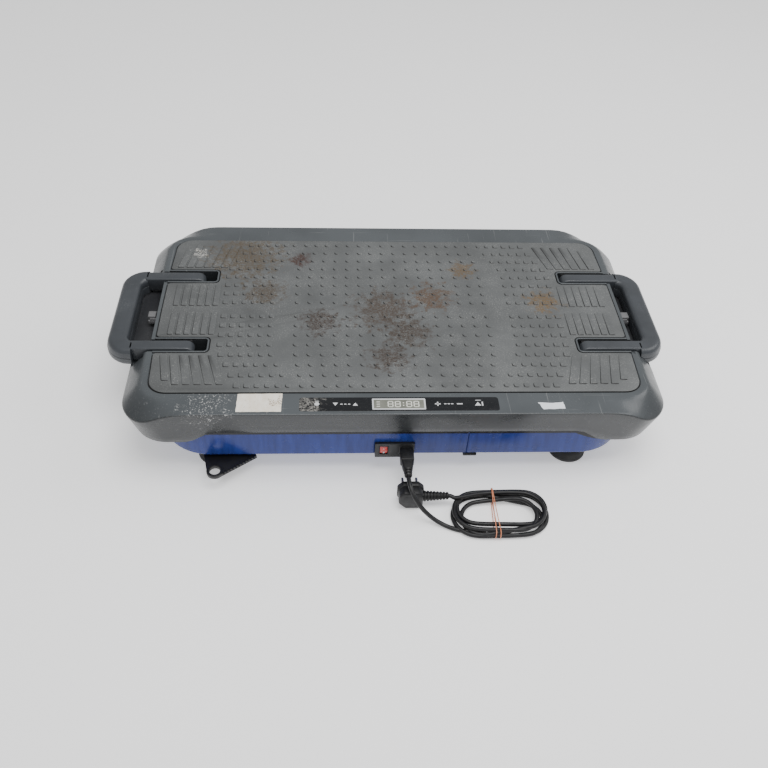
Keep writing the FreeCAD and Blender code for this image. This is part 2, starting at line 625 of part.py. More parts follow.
def pivot_parts():
    hubs, bushes, brackets, pins = [], [], [], []
    under = "deck_top - deck_wall"
    frame_low = f"{under} - frame_thickness"
    top_plate = plate("frame_half_length", "frame_half_depth", "20", frame_low, under)
    outer_bush = "pivot_radius + pin_clearance + bush_wall"
    for sy in (-1, 1):
        y = f"{sy} * hub_y"
        web = block("0", y, "hub_radius", "hub_thickness / 2", ("pivot_level", frame_low))
        ring = rod("hub_radius", f"{y} - hub_thickness / 2", "hub_thickness", "y", x="0", z="pivot_level")
        seat = rod(outer_bush, f"{y} - hub_thickness", "2 * hub_thickness", "y", x="0", z="pivot_level")
        hubs.append(cut(fuse(web, ring), seat))
        bush = rod(outer_bush, f"{y} - hub_thickness / 2", "hub_thickness", "y", x="0", z="pivot_level")
        bushes.append(cut(bush, rod("pivot_radius + pin_clearance", f"{y} - hub_thickness",
                                    "2 * hub_thickness", "y", x="0", z="pivot_level")))
        inner = "hub_y + hub_thickness / 2 + bracket_gap"
        middle = f"{sy} * ({inner} + bracket_thickness / 2)"
        wall = prism(
            XZ,
            [("-bracket_half_width", FLOOR), ("bracket_half_width", FLOOR),
             ("pivot_radius * 2", "pivot_level + pivot_radius * 2"),
             ("-pivot_radius * 2", "pivot_level + pivot_radius * 2")],
            "bracket_thickness", y=middle,
        )
        sole = block("0", f"{sy} * ({inner} + sole_half_depth)", "bracket_half_width",
                     "sole_half_depth", (FLOOR, f"{FLOOR} + sole_thickness"))
        bore = rod("pivot_radius", f"{middle} - 30", "60", "y", x="0", z="pivot_level")
        brackets.append(cut(fuse(wall, sole), bore))
        start = f"{middle} - (bracket_thickness / 2 + bracket_gap + hub_thickness)"
        start = start if sy > 0 else f"{middle} - bracket_thickness / 2"
        pins.append(rod("pivot_radius", start, "bracket_thickness + bracket_gap + hub_thickness", "y",
                        x="0", z="pivot_level"))
    clevis = []
    for sy in (-1, 1):
        ear = block("crank_x", f"{sy} * (rod_thickness / 2 + ear_gap + ear_thickness / 2)",
                    "ear_half_width", "ear_thickness / 2", ("rod_pin_level - ear_drop", frame_low))
        clevis.append(ear)
    pin_hole = rod("rod_pin_radius", "-2 * rod_thickness", "4 * rod_thickness", "y",
                   x="crank_x", z="rod_pin_level")
    ears = cut(fuse(*clevis), pin_hole)
    screw_places = [(f"{sx} * frame_screw_x", f"{sy} * frame_screw_y")
                    for sx in (-1, 0, 1) for sy in (-1, 1)]
    holes = [rod("frame_bore", f"{frame_low} - 1", "frame_thickness + 2", x=x, y=y)
             for x, y in screw_places]
    node(fuse(cut(top_plate, *holes), ears, *hubs), "deck_frame")
    node(group(*bushes), "pivot_bushes")
    node(group(*brackets), "pivot_brackets")
    node(group(*pins), "pivot_pins")
    start = f"{frame_low} - frame_head_height"
    screws = [fuse(rod("frame_head", start, "frame_head_height", x=x, y=y),
                   rod("frame_screw", start, "frame_thickness + frame_head_height", x=x, y=y))
              for x, y in screw_places]
    node(group(*screws), "frame_screws")


pivot_parts()


def buffers():
    posts, pads = [], []
    for sx in (-1, 1):
        for sy in (-1, 1):
            x, y = f"{sx} * buffer_x", f"{sy} * buffer_y"
            posts.append(rod("post_radius", FLOOR, f"post_top - ({FLOOR})", x=x, y=y))
            pads.append(rod("buffer_radius", "post_top", "buffer_top - post_top", x=x, y=y))
    node(group(*posts), "buffer_posts")
    node(group(*pads), "rubber_buffers")


buffers()

# ---------------------------------------------------------------- crank shaft, rod, motor and belt


def crank():
    at = {"x": "crank_x", "z": "crank_level"}
    shaft = rod("shaft_radius", "shaft_start", "shaft_length", "y", **at)
    disc = rod("eccentric_radius", "-rod_thickness / 2 - 1", "rod_thickness + 2", "y",
               x="crank_x", z="crank_level - eccentric_throw")
    node(fuse(shaft, disc), "eccentric_shaft")
    pulley_start = "pulley_y - pulley_width / 2"
    wheel = rod("driven_radius", pulley_start, "pulley_width", "y", **at)
    node(cut(wheel, rod("shaft_radius", "0", "90", "y", **at)), "driven_pulley")
    blocks, bearings = [], []
    for centre in ("front_block_y", "rear_block_y"):
        start = f"{centre} - block_thickness / 2"
        house = block("crank_x", centre, "block_half_width", "block_thickness / 2",
                      (FLOOR, "crank_level + bearing_radius + block_crown"))
        blocks.append(cut(house, rod("bearing_radius", f"{centre} - block_thickness",
                                     "2 * block_thickness", "y", **at)))
        ring = rod("bearing_radius", start, "block_thickness", "y", **at)
        bearings.append(cut(ring, rod("shaft_radius + crank_clearance", f"{centre} - block_thickness",
                                      "2 * block_thickness", "y", **at)))
    node(group(*blocks), "bearing_blocks")
    node(group(*bearings), "shaft_bearings")

    big = rod("rod_radius", "-rod_thickness / 2", "rod_thickness", "y", **at)
    stem = block("crank_x", "0", "rod_small_radius", "rod_thickness / 2",
                 ("crank_level", "rod_pin_level"))
    small = rod("rod_small_radius", "-rod_thickness / 2", "rod_thickness", "y",
                x="crank_x", z="rod_pin_level")
    eye = rod("rod_bore", "-rod_thickness", "2 * rod_thickness", "y", **at)
    top_eye = rod("rod_pin_radius + crank_clearance", "-rod_thickness", "2 * rod_thickness", "y",
                  x="crank_x", z="rod_pin_level")
    node(cut(fuse(big, stem, small), eye, top_eye), "connecting_rod")
    node(rod("rod_pin_radius", "-rod_thickness / 2 - rod_pin_overhang",
             "rod_thickness + 2 * rod_pin_overhang", "y", x="crank_x", z="rod_pin_level"), "rod_pin")


crank()


def motor():
    at = {"x": "motor_x", "z": "motor_level"}
    front = "motor_back + motor_length"
    can = rod("motor_radius", "motor_back", "motor_length", "y", **at)
    bore = rod("motor_shaft_radius + crank_clearance", f"{front} - shaft_bore_depth",
               "2 * shaft_bore_depth", "y", **at)
    node(cut(can, bore), "motor_body")
    face = block("motor_x", f"{front} + face_plate / 2", "motor_radius + motor_margin",
                 "face_plate / 2", (FLOOR, "face_top"))
    sole = block("motor_x", f"{front} - motor_sole / 2", "motor_radius + motor_margin", "motor_sole / 2",
                 (FLOOR, f"{FLOOR} + motor_sole_height"))
    passage = rod("motor_shaft_radius + motor_margin", f"{front} - 1", "face_plate + 2", "y", **at)
    node(cut(fuse(face, sole), passage), "motor_bracket")
    end = "pulley_y + pulley_width / 2"
    node(rod("motor_shaft_radius", f"{front} - shaft_depth", f"{end} - ({front}) + shaft_depth", "y",
             **at), "motor_shaft")
    wheel = rod("drive_radius", "pulley_y - pulley_width / 2", "pulley_width", "y", **at)
    node(cut(wheel, rod("motor_shaft_radius", "0", "90", "y", **at)), "drive_pulley")


motor()


def belt_loop(gap):
    """The flat solid inside a belt line that runs round both pulleys, at a distance from them."""
    small, large = value("drive_radius") + gap, value("driven_radius") + gap
    here = FreeCAD.Vector(value("motor_x"), 0, value("motor_level"))
    there = FreeCAD.Vector(value("crank_x"), 0, value("crank_level"))
    line = there - here
    lean = math.atan2(line.z, line.x)
    open_angle = math.acos((small - large) / line.Length)
    width = value("belt_width")

    def on(centre, radius, angle):
        return centre + FreeCAD.Vector(radius * math.cos(angle), 0, radius * math.sin(angle))

    up, down = lean + open_angle, lean - open_angle
    edges = [
        Part.LineSegment(on(here, small, down), on(there, large, down)).toShape(),
        Part.Arc(on(there, large, down), on(there, large, lean), on(there, large, up)).toShape(),
        Part.LineSegment(on(there, large, up), on(here, small, up)).toShape(),
        Part.Arc(on(here, small, up), on(here, small, lean + math.pi), on(here, small, down)).toShape(),
    ]
    face = Part.Face(Part.Wire(edges))
    start = FreeCAD.Vector(value(SHIFT["x"]), value(SHIFT["y"]) + value("pulley_y") - width / 2, 0)
    return face.translated(start).extrude(FreeCAD.Vector(0, width, 0))


def drive_belt():
    gap, thick = value("belt_gap"), value("belt_thickness")
    item = doc.addObject("Part::Feature", "Belt")
    item.Shape = belt_loop(gap + thick).cut(belt_loop(gap))
    node(item, "drive_belt")


drive_belt()


def driver_board():
    high = "driver_level + board_thickness"
    node(block("driver_x", "driver_y", "driver_half_length", "driver_half_depth", ("driver_level", high)),
         "driver_board")
    legs = [rod("spacer_radius", FLOOR, f"driver_level - ({FLOOR})",
                x=f"driver_x + {sx} * (driver_half_length - spacer_inset)",
                y=f"driver_y + {sy} * (driver_half_depth - spacer_inset)")
            for sx in (-1, 1) for sy in (-1, 1)]
    node(group(*legs), "board_spacers")


driver_board()

# ---------------------------------------------------------------- mains lead


def connector():
    front = "-panel_front"
    end = "connector_end"
    nose_back = f"{front} + inlet_depth - connector_seat - blade_length"
    nose = box(("inlet_centre - inlet_length / 2 + inlet_wall + connector_gap",
                "inlet_centre + inlet_length / 2 - inlet_wall - connector_gap"),
               (f"{front} - connector_seat", nose_back),
               ("panel_level - inlet_height / 2 + inlet_wall + connector_gap",
                "panel_level + inlet_height / 2 - inlet_wall - connector_gap"))
    face = f"({front} - connector_face_gap)"
    body = block("inlet_centre", f"({face} + connector_front) / 2", "connector_width / 2",
                 f"({face} - connector_front) / 2",
                 ("panel_level - connector_height / 2", "panel_level + connector_height / 2"))
    relief = taper_rod("relief_small", "connector_relief", end,
                       f"connector_front - {end} + relief_root", "y", x="inlet_centre", z="panel_level")
    node(fuse(nose, body, relief), "appliance_connector")


connector()


def plug():
    """A right-angle plug that lies on its rim with its prongs to the rear."""
    depth = "plug_back - plug_front"
    body = prism(
        XZ,
        [("plug_bevel_x - plug_half_width", "0"), ("plug_half_width - plug_foot_x", "0"),
         ("plug_half_width", "plug_foot_z"), ("plug_half_width", "plug_top - plug_crown_z"),
         ("plug_half_width - plug_crown_x", "plug_top"), ("plug_crown_x - plug_half_width", "plug_top"),
         ("-plug_half_width", "plug_top - plug_crown_z"), ("-plug_half_width", "plug_bevel_z")],
        depth, x="plug_x", y="(plug_back + plug_front) / 2",
    )
    start = "plug_x + plug_half_width - plug_root"
    relief = taper_rod("relief_large", "relief_small", start, f"relief_end - ({start})", "x",
                       y="relief_y", z="relief_level")
    node(fuse(body, relief), "mains_plug")
    prongs = [rod("prong_radius", "plug_back", "prong_length", "y",
                  x=f"plug_x + {sx} * prong_pitch / 2", z="plug_top / 2") for sx in (-1, 1)]
    node(group(*prongs), "plug_prongs")


plug()


def coil():
    half_x, half_y = "coil_half_length", "coil_half_depth"
    outer = plate(half_x, half_y, f"{half_y} - 0.5", "coil_low", "coil_top", edge="4", x="coil_x", y="coil_y")
    hole = plate("coil_hole_length", "coil_hole_depth", "coil_hole_depth - 0.5", "coil_low - 1",
                 "coil_top + 1", x="coil_x", y="coil_y")
    node(cut(outer, hole), "cord_coil")
    inside = block("tie_x", "coil_y", "tie_width", f"{half_y} + 0.1", ("coil_low - 0.1", "coil_top + 0.1"))
    band = block("tie_x", "coil_y", "tie_width / 2", f"{half_y} + 0.1 + tie_thickness",
                 ("coil_low - 0.1 - tie_thickness", "coil_top + 0.1 + tie_thickness"))
    node(cut(band, inside), "cord_tie")


coil()


def rounded_path(points):
    """Straight runs joined by tangent arcs, each as large as its two runs allow."""
    radii, edges, here = [], [], points[0]
    for before, corner, after in zip(points, points[1:], points[2:]):
        back, ahead = before - corner, after - corner
        half_turn = (math.pi - back.getAngle(ahead)) / 2
        reach = 0.45 * min(back.Length, ahead.Length)
        radius = reach / math.tan(half_turn)
        first = corner + back.normalize() * reach
        last = corner + ahead.normalize() * reach
        middle = corner + (back + ahead).normalize() * (radius / math.cos(half_turn) - radius)
        edges += [Part.LineSegment(here, first).toShape(), Part.Arc(first, middle, last).toShape()]
        radii.append(round(radius, 1))
        here = last
    edges.append(Part.LineSegment(here, points[-1]).toShape())
    return Part.Wire(edges), radii


def cord(name, points):
    """A round cord along hand-chosen points, in the object's own frame."""
    shift = FreeCAD.Vector(*(value(SHIFT[axis]) for axis in "xyz"))
    path, radii = rounded_path([FreeCAD.Vector(*point) + shift for point in points])
    radius = value("cord_radius")
    circle = Part.Wire(Part.makeCircle(radius, path.Vertexes[0].Point, path.Edges[0].tangentAt(0)))
    tube = path.makePipeShell([circle], True, False)
    print(name, "length", round(path.Length, 1), "radii", radii,
          "volume ratio", round(tube.Volume / (math.pi * radius ** 2 * path.Length), 4))
    item = doc.addObject("Part::Feature", "Cord")
    item.Shape = tube
    node(item, name)


# from the connector's strain relief, past the plug and down to the floor, to the coil
LEAD_POINTS = [
    (13, -247, 46), (13.5, -258, 46.5), (16.5, -270, 42.5), (23.5, -279, 32), (34, -284, 19),
    (47, -289, 8), (63, -297, 3.6), (80, -304, 3.2), (97, -307, 4.5),
]
# from the coil's near end to the plug's strain relief
TAIL_POINTS = [(69, -256, 17), (73, -257, 16.6), (77, -259.5, 15.4)]


def leads():
    cord("mains_lead", LEAD_POINTS)
    cord("plug_tail", TAIL_POINTS)


leads()

# ---------------------------------------------------------------- check and write

doc.recompute()
faults = [o.Name for o in doc.Objects if {"Invalid", "Error"} & set(o.State)]
for item in NODES:
    shape = item.Shape
    if shape.isNull() or not shape.isValid() or not shape.Solids:
        faults.append(item.Label)
if faults:
    raise RuntimeError(f"these objects failed: {faults}")

os.makedirs("parts", exist_ok=True)
for item in NODES:
    item.Shape.exportStep(f"parts/{item.Label}.step")
print(len(NODES), "nodes")
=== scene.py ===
import math
import random

import bmesh
import bpy
from mathutils import Matrix, Vector


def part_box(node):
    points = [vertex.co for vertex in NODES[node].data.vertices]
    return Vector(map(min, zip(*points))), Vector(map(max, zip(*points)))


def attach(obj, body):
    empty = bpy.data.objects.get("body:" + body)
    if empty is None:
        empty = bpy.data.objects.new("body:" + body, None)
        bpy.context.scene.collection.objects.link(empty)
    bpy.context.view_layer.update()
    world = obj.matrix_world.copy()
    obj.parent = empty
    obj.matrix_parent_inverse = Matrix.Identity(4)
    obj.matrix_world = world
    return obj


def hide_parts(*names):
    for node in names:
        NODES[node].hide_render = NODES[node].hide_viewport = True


# Vibration plate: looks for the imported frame.
# Lengths in this script are millimetres about the middle of the deck, with z up from the floor.

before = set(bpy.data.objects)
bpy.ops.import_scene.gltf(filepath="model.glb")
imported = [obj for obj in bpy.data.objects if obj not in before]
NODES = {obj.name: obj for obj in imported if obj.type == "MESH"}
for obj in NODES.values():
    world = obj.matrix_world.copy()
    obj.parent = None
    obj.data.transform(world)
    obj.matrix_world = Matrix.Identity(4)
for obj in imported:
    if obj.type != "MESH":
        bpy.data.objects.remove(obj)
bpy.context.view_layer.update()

MM = 0.001
DECK_LOW, DECK_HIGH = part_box("deck_shell")
CENTRE = Vector(((DECK_LOW.x + DECK_HIGH.x) / 2, (DECK_LOW.y + DECK_HIGH.y) / 2, 0))
SIDES = {"left": -1, "right": 1}
rng = random.Random(7)


def at(x, y, z):
    """A point of the frame, in metres, from millimetres about the deck's middle."""
    return CENTRE + Vector((x, y, z)) * MM


def span(node):
    """A CAD node's box in millimetres about the deck's middle."""
    low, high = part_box(node)
    return (low - CENTRE) / MM, (high - CENTRE) / MM


def linked(name, data):
    """A new object of some data, in the scene."""
    item = bpy.data.objects.new(name, data)
    bpy.context.scene.collection.objects.link(item)
    bpy.context.view_layer.update()
    return item


# ---------------------------------------------------------------- camera

CAMERA_PLACE = (-85.9, -989.0, 938.2)
CAMERA_YAW, CAMERA_PITCH, CAMERA_ROLL = 0.0802, 0.7685, 0.0536
CAMERA_LENS, CAMERA_SENSOR = 40.78, 36


def add_camera():
    data = bpy.data.cameras.new("camera")
    data.lens = CAMERA_LENS
    data.sensor_width = CAMERA_SENSOR
    camera = linked("camera", data)
    turn = Matrix.Rotation(-CAMERA_YAW, 4, "Z") @ Matrix.Rotation(math.pi / 2 - CAMERA_PITCH, 4, "X")
    camera.matrix_world = Matrix.Translation(at(*CAMERA_PLACE)) @ turn @ Matrix.Rotation(CAMERA_ROLL, 4, "Z")
    bpy.context.scene.camera = camera


add_camera()

# ---------------------------------------------------------------- node graphs


class Graph:
    """A material's nodes, built by short calls. Places are in millimetres of the object."""

    def __init__(self, name, colour, roughness, metallic=0.0, coat=0.0, coat_roughness=0.1):
        self.material = bpy.data.materials.new(name)
        self.material.use_nodes = True
        self.tree = self.material.node_tree
        self.shader = self.tree.nodes["Principled BSDF"]
        self.set("Base Color", (*colour, 1))
        self.set("Roughness", roughness)
        self.set("Metallic", metallic)
        self.set("Coat Weight", coat)
        self.set("Coat Roughness", coat_roughness)
        scale = self.add("ShaderNodeVectorMath", operation="SCALE")
        scale.inputs["Scale"].default_value = 1 / MM
        self.link(self.add("ShaderNodeTexCoord").outputs["Object"], scale.inputs[0])
        self.place = scale.outputs[0]

    def add(self, kind, **settings):
        node = self.tree.nodes.new(kind)
        for key, value in settings.items():
            setattr(node, key, value)
        return node

    def link(self, source, target):
        if hasattr(source, "links"):
            self.tree.links.new(source, target)
        elif hasattr(source, "__len__") and len(target.default_value) == 4:
            target.default_value = (*source, 1)
        else:
            target.default_value = source

    def set(self, socket, value):
        self.shader.inputs[socket].default_value = value

    def stretched(self, factors, turn=0.0):
        """The object's place, scaled along its axes, for grain that runs one way."""
        mapping = self.add("ShaderNodeMapping")
        mapping.inputs["Scale"].default_value = factors
        mapping.inputs["Rotation"].default_value = (0, 0, turn)
        self.link(self.place, mapping.inputs["Vector"])
        return mapping.outputs[0]

    def noise(self, size, detail=4.0, rough=0.55, place=None):
        """Noise whose blobs are about size millimetres across."""
        node = self.add("ShaderNodeTexNoise")
        node.inputs["Scale"].default_value = 1 / size
        node.inputs["Detail"].default_value = detail
        node.inputs["Roughness"].default_value = rough
        self.link(place or self.place, node.inputs["Vector"])
        return node.outputs["Fac"]

    def ramp(self, source, low, high, start=0.0, end=1.0):
        """Takes low..high of a value to start..end, and holds it beyond."""
        node = self.add("ShaderNodeMapRange")
        for socket, value in zip(("From Min", "From Max", "To Min", "To Max"), (low, high, start, end)):
            node.inputs[socket].default_value = value
        self.link(source, node.inputs["Value"])
        return node.outputs[0]

    def spots(self, size, low, high, *shape):
        """Patches of noise: 0 below low and 1 above high."""
        return self.ramp(self.noise(size, *shape), low, high)

    def maths(self, operation, a, b=0.0):
        node = self.add("ShaderNodeMath", operation=operation)
        self.link(a, node.inputs[0])
        self.link(b, node.inputs[1])
        return node.outputs[0]

    def times(self, a, b):
        return self.maths("MULTIPLY", a, b)

    def larger(self, a, b):
        return self.maths("MAXIMUM", a, b)

    def mix(self, factor, a, b):
        node = self.add("ShaderNodeMix", data_type="RGBA")
        self.link(factor, node.inputs["Factor"])
        self.link(a, node.inputs[6])
        self.link(b, node.inputs[7])
        return node.outputs[2]

    def blend(self, source, a, b, low=0.35, high=0.65):
        """Goes from one colour to the other as a value goes from low to high."""
        return self.mix(self.ramp(source, low, high), a, b)

    def axis(self, name):
        """The object's place along one axis, in millimetres."""
        node = self.add("ShaderNodeSeparateXYZ")
        self.link(self.place, node.inputs[0])
        return node.outputs[name]

    def near(self, point, radius, wobble=None):
        """1 at a point and 0 beyond radius millimetres, with an uneven edge."""
        node = self.add("ShaderNodeVectorMath", operation="DISTANCE")
        self.link(self.place, node.inputs[0])
        node.inputs[1].default_value = at(*point) / MM
        distance = node.outputs["Value"]
        if wobble is not None:
            distance = self.maths("ADD", distance, self.ramp(wobble, 0.3, 0.7, -radius * 0.7, radius * 0.7))
        return self.ramp(distance, radius * 0.45, radius, 1, 0)

    def facing(self, way, low, high):
        """Rises from 0 to 1 on faces that look one way, by the cosine of the angle between them."""
        node = self.add("ShaderNodeVectorMath", operation="DOT_PRODUCT")
        self.link(self.add("ShaderNodeTexCoord").outputs["Normal"], node.inputs[0])
        node.inputs[1].default_value = way
        return self.ramp(node.outputs["Value"], low, high)

    def colour(self, source):
        self.link(source, self.shader.inputs["Base Color"])

    def rough(self, noise, low, high):
        """Roughness that wanders between low and high."""
        self.link(self.ramp(noise, 0.3, 0.7, low, high), self.shader.inputs["Roughness"])

    def bump(self, height, depth, strength=1.0):
        """Relief of about depth millimetres."""
        node = self.add("ShaderNodeBump")
        node.inputs["Distance"].default_value = depth * MM
        node.inputs["Strength"].default_value = strength
        self.link(height, node.inputs["Height"])
        self.link(node.outputs[0], self.shader.inputs["Normal"])


def shade(colour, factor):
    return tuple(min(1.0, c * factor) for c in colour)


def moulded(name, colour, roughness, spread=0.15, grain=0.9, relief=0.06, dust=0.25, coat=0.0):
    """Moulded plastic or rubber: soft mottling, a fine grain, and pale dust in patches."""
    graph = Graph(name, colour, roughness, coat=coat, coat_roughness=0.12)
    mottle = graph.noise(38)
    tone = graph.mix(graph.ramp(mottle, 0.3, 0.7), shade(colour, 1 - spread), shade(colour, 1 + spread))
    patches = graph.spots(55, 0.5, 0.72, 6, 0.65)
    specks = graph.spots(1.6, 0.56, 0.68, 2, 0.7)
    dusty = graph.times(patches, specks)
    pale = tuple(0.6 * c + 0.22 for c in colour)
    graph.colour(graph.mix(graph.times(dusty, dust), tone, pale))
    graph.rough(graph.noise(12, 5), roughness * 0.8, min(1.0, roughness * 1.25))
    graph.bump(graph.noise(grain, 3), relief, 0.5)
    return graph.material


def metal(name, colour, roughness, brushed=(1, 12, 1)):
    """Turned or rolled metal with fine tool lines and slight staining."""
    graph = Graph(name, colour, roughness, metallic=1.0)
    lines = graph.noise(1.8, 4, 0.6, graph.stretched(brushed))
    stain = graph.spots(22, 0.42, 0.7, 5)
    graph.colour(graph.mix(stain, colour, shade(colour, 0.72)))
    graph.rough(lines, roughness * 0.75, roughness * 1.3)
    graph.bump(lines, 0.05, 0.35)
    return graph.material


# ---------------------------------------------------------------- materials of the object

DECK_COLOUR = (0.074, 0.082, 0.088)
MAT_COLOUR = (0.104, 0.109, 0.110)
HANDLE_COLOUR = (0.044, 0.049, 0.056)
BASE_COLOUR = (0.020, 0.038, 0.200)
BLACK = (0.012, 0.012, 0.014)
SKIRT_STRAIGHT, SKIRT_END = 250.0, 300.0
# painted shade: the base is coloured black above these levels, where the skirt shades it, under the skirt's
# middle and under its ends
SKIRT_SHADE_LEVELS = (75.5, 52.0)


def deck_skin():
    """Slate-grey plastic with painted shade on its skirt and end slopes, a painted highlight along its front
    crease, scratches, dust and pale speckles left of the label.
    """
    graph = Graph("deck_plastic", DECK_COLOUR, 0.28, coat=0.06, coat_roughness=0.12)
    graph.set("Specular IOR Level", 0.35)
    tone = graph.blend(graph.noise(120, 3), shade(DECK_COLOUR, 0.88), shade(DECK_COLOUR, 1.12))
    scratch_a = graph.spots(3.0, 0.66, 0.70, 3, 0.7, graph.stretched((1, 0.02, 1), 0.5))
    scratch_b = graph.spots(3.0, 0.67, 0.71, 3, 0.7, graph.stretched((0.02, 1, 1), -0.2))
    scratches = graph.larger(scratch_a, scratch_b)
    patches = graph.spots(70, 0.45, 0.65, 5)
    specks = graph.spots(2.2, 0.62, 0.70, 3, 0.8)
    dusty = graph.times(patches, specks)
    crumbs = graph.times(graph.spots(2.6, 0.57, 0.62, 2, 0.7),
                         graph.near((-250, -192, 130), 34, graph.noise(9)))
    dirt = graph.larger(graph.times(dusty, 0.35), graph.times(crumbs, 0.7))
    marks = graph.larger(graph.times(scratches, 0.16), dirt)
    # painted shade: faces that do not look straight up, on the skirt and the end slopes, are darkened to a
    # third
    tone = graph.mix(graph.facing((0, 0, 1), 0.5, 0.985), shade(DECK_COLOUR, 0.3), tone)
    # painted highlight: a pale line on the faces round the front crease that look forward and up
    painted_crease_highlight = graph.times(graph.facing((0, -0.75, 0.66), 0.965, 0.995), 0.45)
    tone = graph.mix(painted_crease_highlight, tone, (0.30, 0.31, 0.32))
    graph.colour(graph.mix(marks, tone, (0.55, 0.55, 0.54)))
    graph.rough(graph.noise(26, 5), 0.22, 0.36)
    graph.bump(graph.noise(5, 3), 0.05, 0.25)
    return graph.material


STAINS = (
    # place on the mat, radius, colour
    ((-137, 121, 131), 19, (0.040, 0.014, 0.009)),
    ((-106, -28, 131), 30, (0.040, 0.028, 0.022)),
    ((-12, 0, 131), 48, (0.055, 0.040, 0.030)),
    ((20, -50, 131), 38, (0.048, 0.036, 0.028)),
    ((-8, -104, 131), 32, (0.046, 0.034, 0.027)),
    ((60, 30, 131), 34, (0.080, 0.048, 0.028)),
    ((-188, 40, 131), 34, (0.070, 0.055, 0.040)),
    ((228, 18, 131), 28, (0.125, 0.080, 0.035)),
    ((112, 96, 131), 22, (0.110, 0.075, 0.040)),
    ((-222, 128, 131), 62, (0.085, 0.066, 0.044)),
)


def mat_skin():
    """Grey rubber with dust in its grain, rusty stains, and painted shade on the left and front faces of its
    studs.
    """
    graph = Graph("mat_rubber", MAT_COLOUR, 0.5)
    cloud = graph.spots(90, 0.34, 0.66, 5, 0.6)
    tone = graph.mix(cloud, shade(MAT_COLOUR, 0.82), shade(MAT_COLOUR, 1.14))
    wobble = graph.noise(11, 5, 0.65)
    blots = graph.noise(3.2, 4, 0.7)
    for point, radius, colour in STAINS:
        inside = graph.near(point, radius, wobble)
        blotchy = graph.times(inside, graph.ramp(blots, 0.40, 0.55, 0.3, 1.0))
        tone = graph.mix(blotchy, tone, colour)
    fine = graph.spots(1.7, 0.56, 0.66, 3, 0.75)
    patch = graph.ramp(graph.noise(46, 5, 0.65), 0.42, 0.6, 0.2, 1)
    tone = graph.mix(graph.times(graph.times(fine, patch), 0.5), tone, (0.40, 0.40, 0.38))
    # painted shade: faces that look left and forward, on the studs, ribs and the mat's edge, are darkened as a
    # light from the right rear would leave them
    tone = graph.mix(graph.facing((-0.64, -0.77, 0), 0.12, 0.4), tone, shade(MAT_COLOUR, 0.12))
    white = graph.times(graph.near((-293, 136, 131), 13, graph.noise(6)), graph.spots(1.8, 0.5, 0.6, 3))
    graph.colour(graph.mix(graph.times(white, 0.8), tone, (0.75, 0.73, 0.68)))
    graph.rough(graph.noise(18, 5), 0.38, 0.6)
    graph.bump(graph.noise(1.1, 4, 0.7), 0.12, 0.5)
    return graph.material


def base_skin():
    """Blue plastic with faint vertical rubbing and a slight ripple, and painted shade in black along its joint
    with the deck, under the skirt.
    """
    graph = Graph("base_plastic", BASE_COLOUR, 0.26)
    graph.set("Specular IOR Level", 0.3)
    streaks = graph.noise(7, 4, 0.6, graph.stretched((1, 1, 0.12)))
    tone = graph.blend(streaks, shade(BASE_COLOUR, 0.82), shade(BASE_COLOUR, 1.2))
    specks = graph.spots(2.0, 0.66, 0.72, 3, 0.8)
    tone = graph.mix(graph.times(specks, 0.35), tone, (0.3, 0.34, 0.5))
    # painted shade: black above a level that follows the skirt's lower edge, where the skirt shades the base
    from_middle = graph.maths("ABSOLUTE", graph.axis("X"))
    shaded_from = graph.ramp(from_middle, SKIRT_STRAIGHT, SKIRT_END, *SKIRT_SHADE_LEVELS)
    skirt_shade = graph.ramp(graph.maths("SUBTRACT", graph.axis("Z"), shaded_from), 0, 1.2)
    graph.colour(graph.mix(skirt_shade, tone, BLACK))
    graph.rough(graph.noise(20, 4), 0.16, 0.3)
    graph.bump(graph.noise(30, 2), 0.25, 0.3)
    return graph.material


def strip_skin():
    """Black film, rubbed through at its left end."""
    graph = Graph("strip_film", BLACK, 0.3, coat=0.1, coat_roughness=0.1)
    graph.set("Specular IOR Level", 0.28)
    left_end = graph.near((-121, -196, 130), 26, graph.noise(8, 5))
    rubbed = graph.times(left_end, graph.spots(2.4, 0.45, 0.56, 4, 0.75))
    dust = graph.times(graph.spots(1.6, 0.62, 0.7, 3, 0.8), 0.2)
    graph.colour(graph.mix(graph.larger(graph.times(rubbed, 0.8), dust),
                           (0.008, 0.009, 0.011), (0.30, 0.29, 0.27)))
    graph.rough(graph.noise(9, 4), 0.24, 0.38)
    return graph.material


def lcd_skin():
    """Grey-green display glass with a soft cloudiness."""
    graph = Graph("display_glass", (0.2, 0.215, 0.17), 0.2, coat=0.1, coat_roughness=0.03)
    graph.set("Specular IOR Level", 0.3)
    graph.colour(graph.blend(graph.noise(14, 4), (0.15, 0.155, 0.13), (0.22, 0.225, 0.195)))
    return graph.material


def label_skin():
    """A cream paper label, creased, with brown rubbed spots near its right edge."""
    graph = Graph("label_paper", (0.85, 0.79, 0.68), 0.7)
    crease = graph.noise(7, 5, 0.7, graph.stretched((1, 0.35, 1)))
    tone = graph.blend(crease, (0.86, 0.78, 0.64), (0.97, 0.93, 0.84))
    torn = graph.times(graph.near((-161, -189, 130), 12, graph.noise(4)), graph.spots(2.0, 0.5, 0.56, 3))
    specks = graph.times(graph.spots(2.8, 0.62, 0.68, 3, 0.7), 0.35)
    graph.colour(graph.mix(graph.larger(torn, specks), tone, (0.25, 0.17, 0.11)))
    graph.bump(crease, 0.2, 0.5)
    return graph.material


def band_skin():
    """Soft orange rubber band with a powdery sheen."""
    graph = Graph("band_rubber", (0.72, 0.24, 0.10), 0.5)
    graph.set("Sheen Weight", 0.3)
    graph.colour(graph.blend(graph.noise(5, 4), (0.62, 0.19, 0.08), (0.82, 0.33, 0.17)))
    graph.bump(graph.noise(0.8, 3), 0.05, 0.4)
    return graph.material


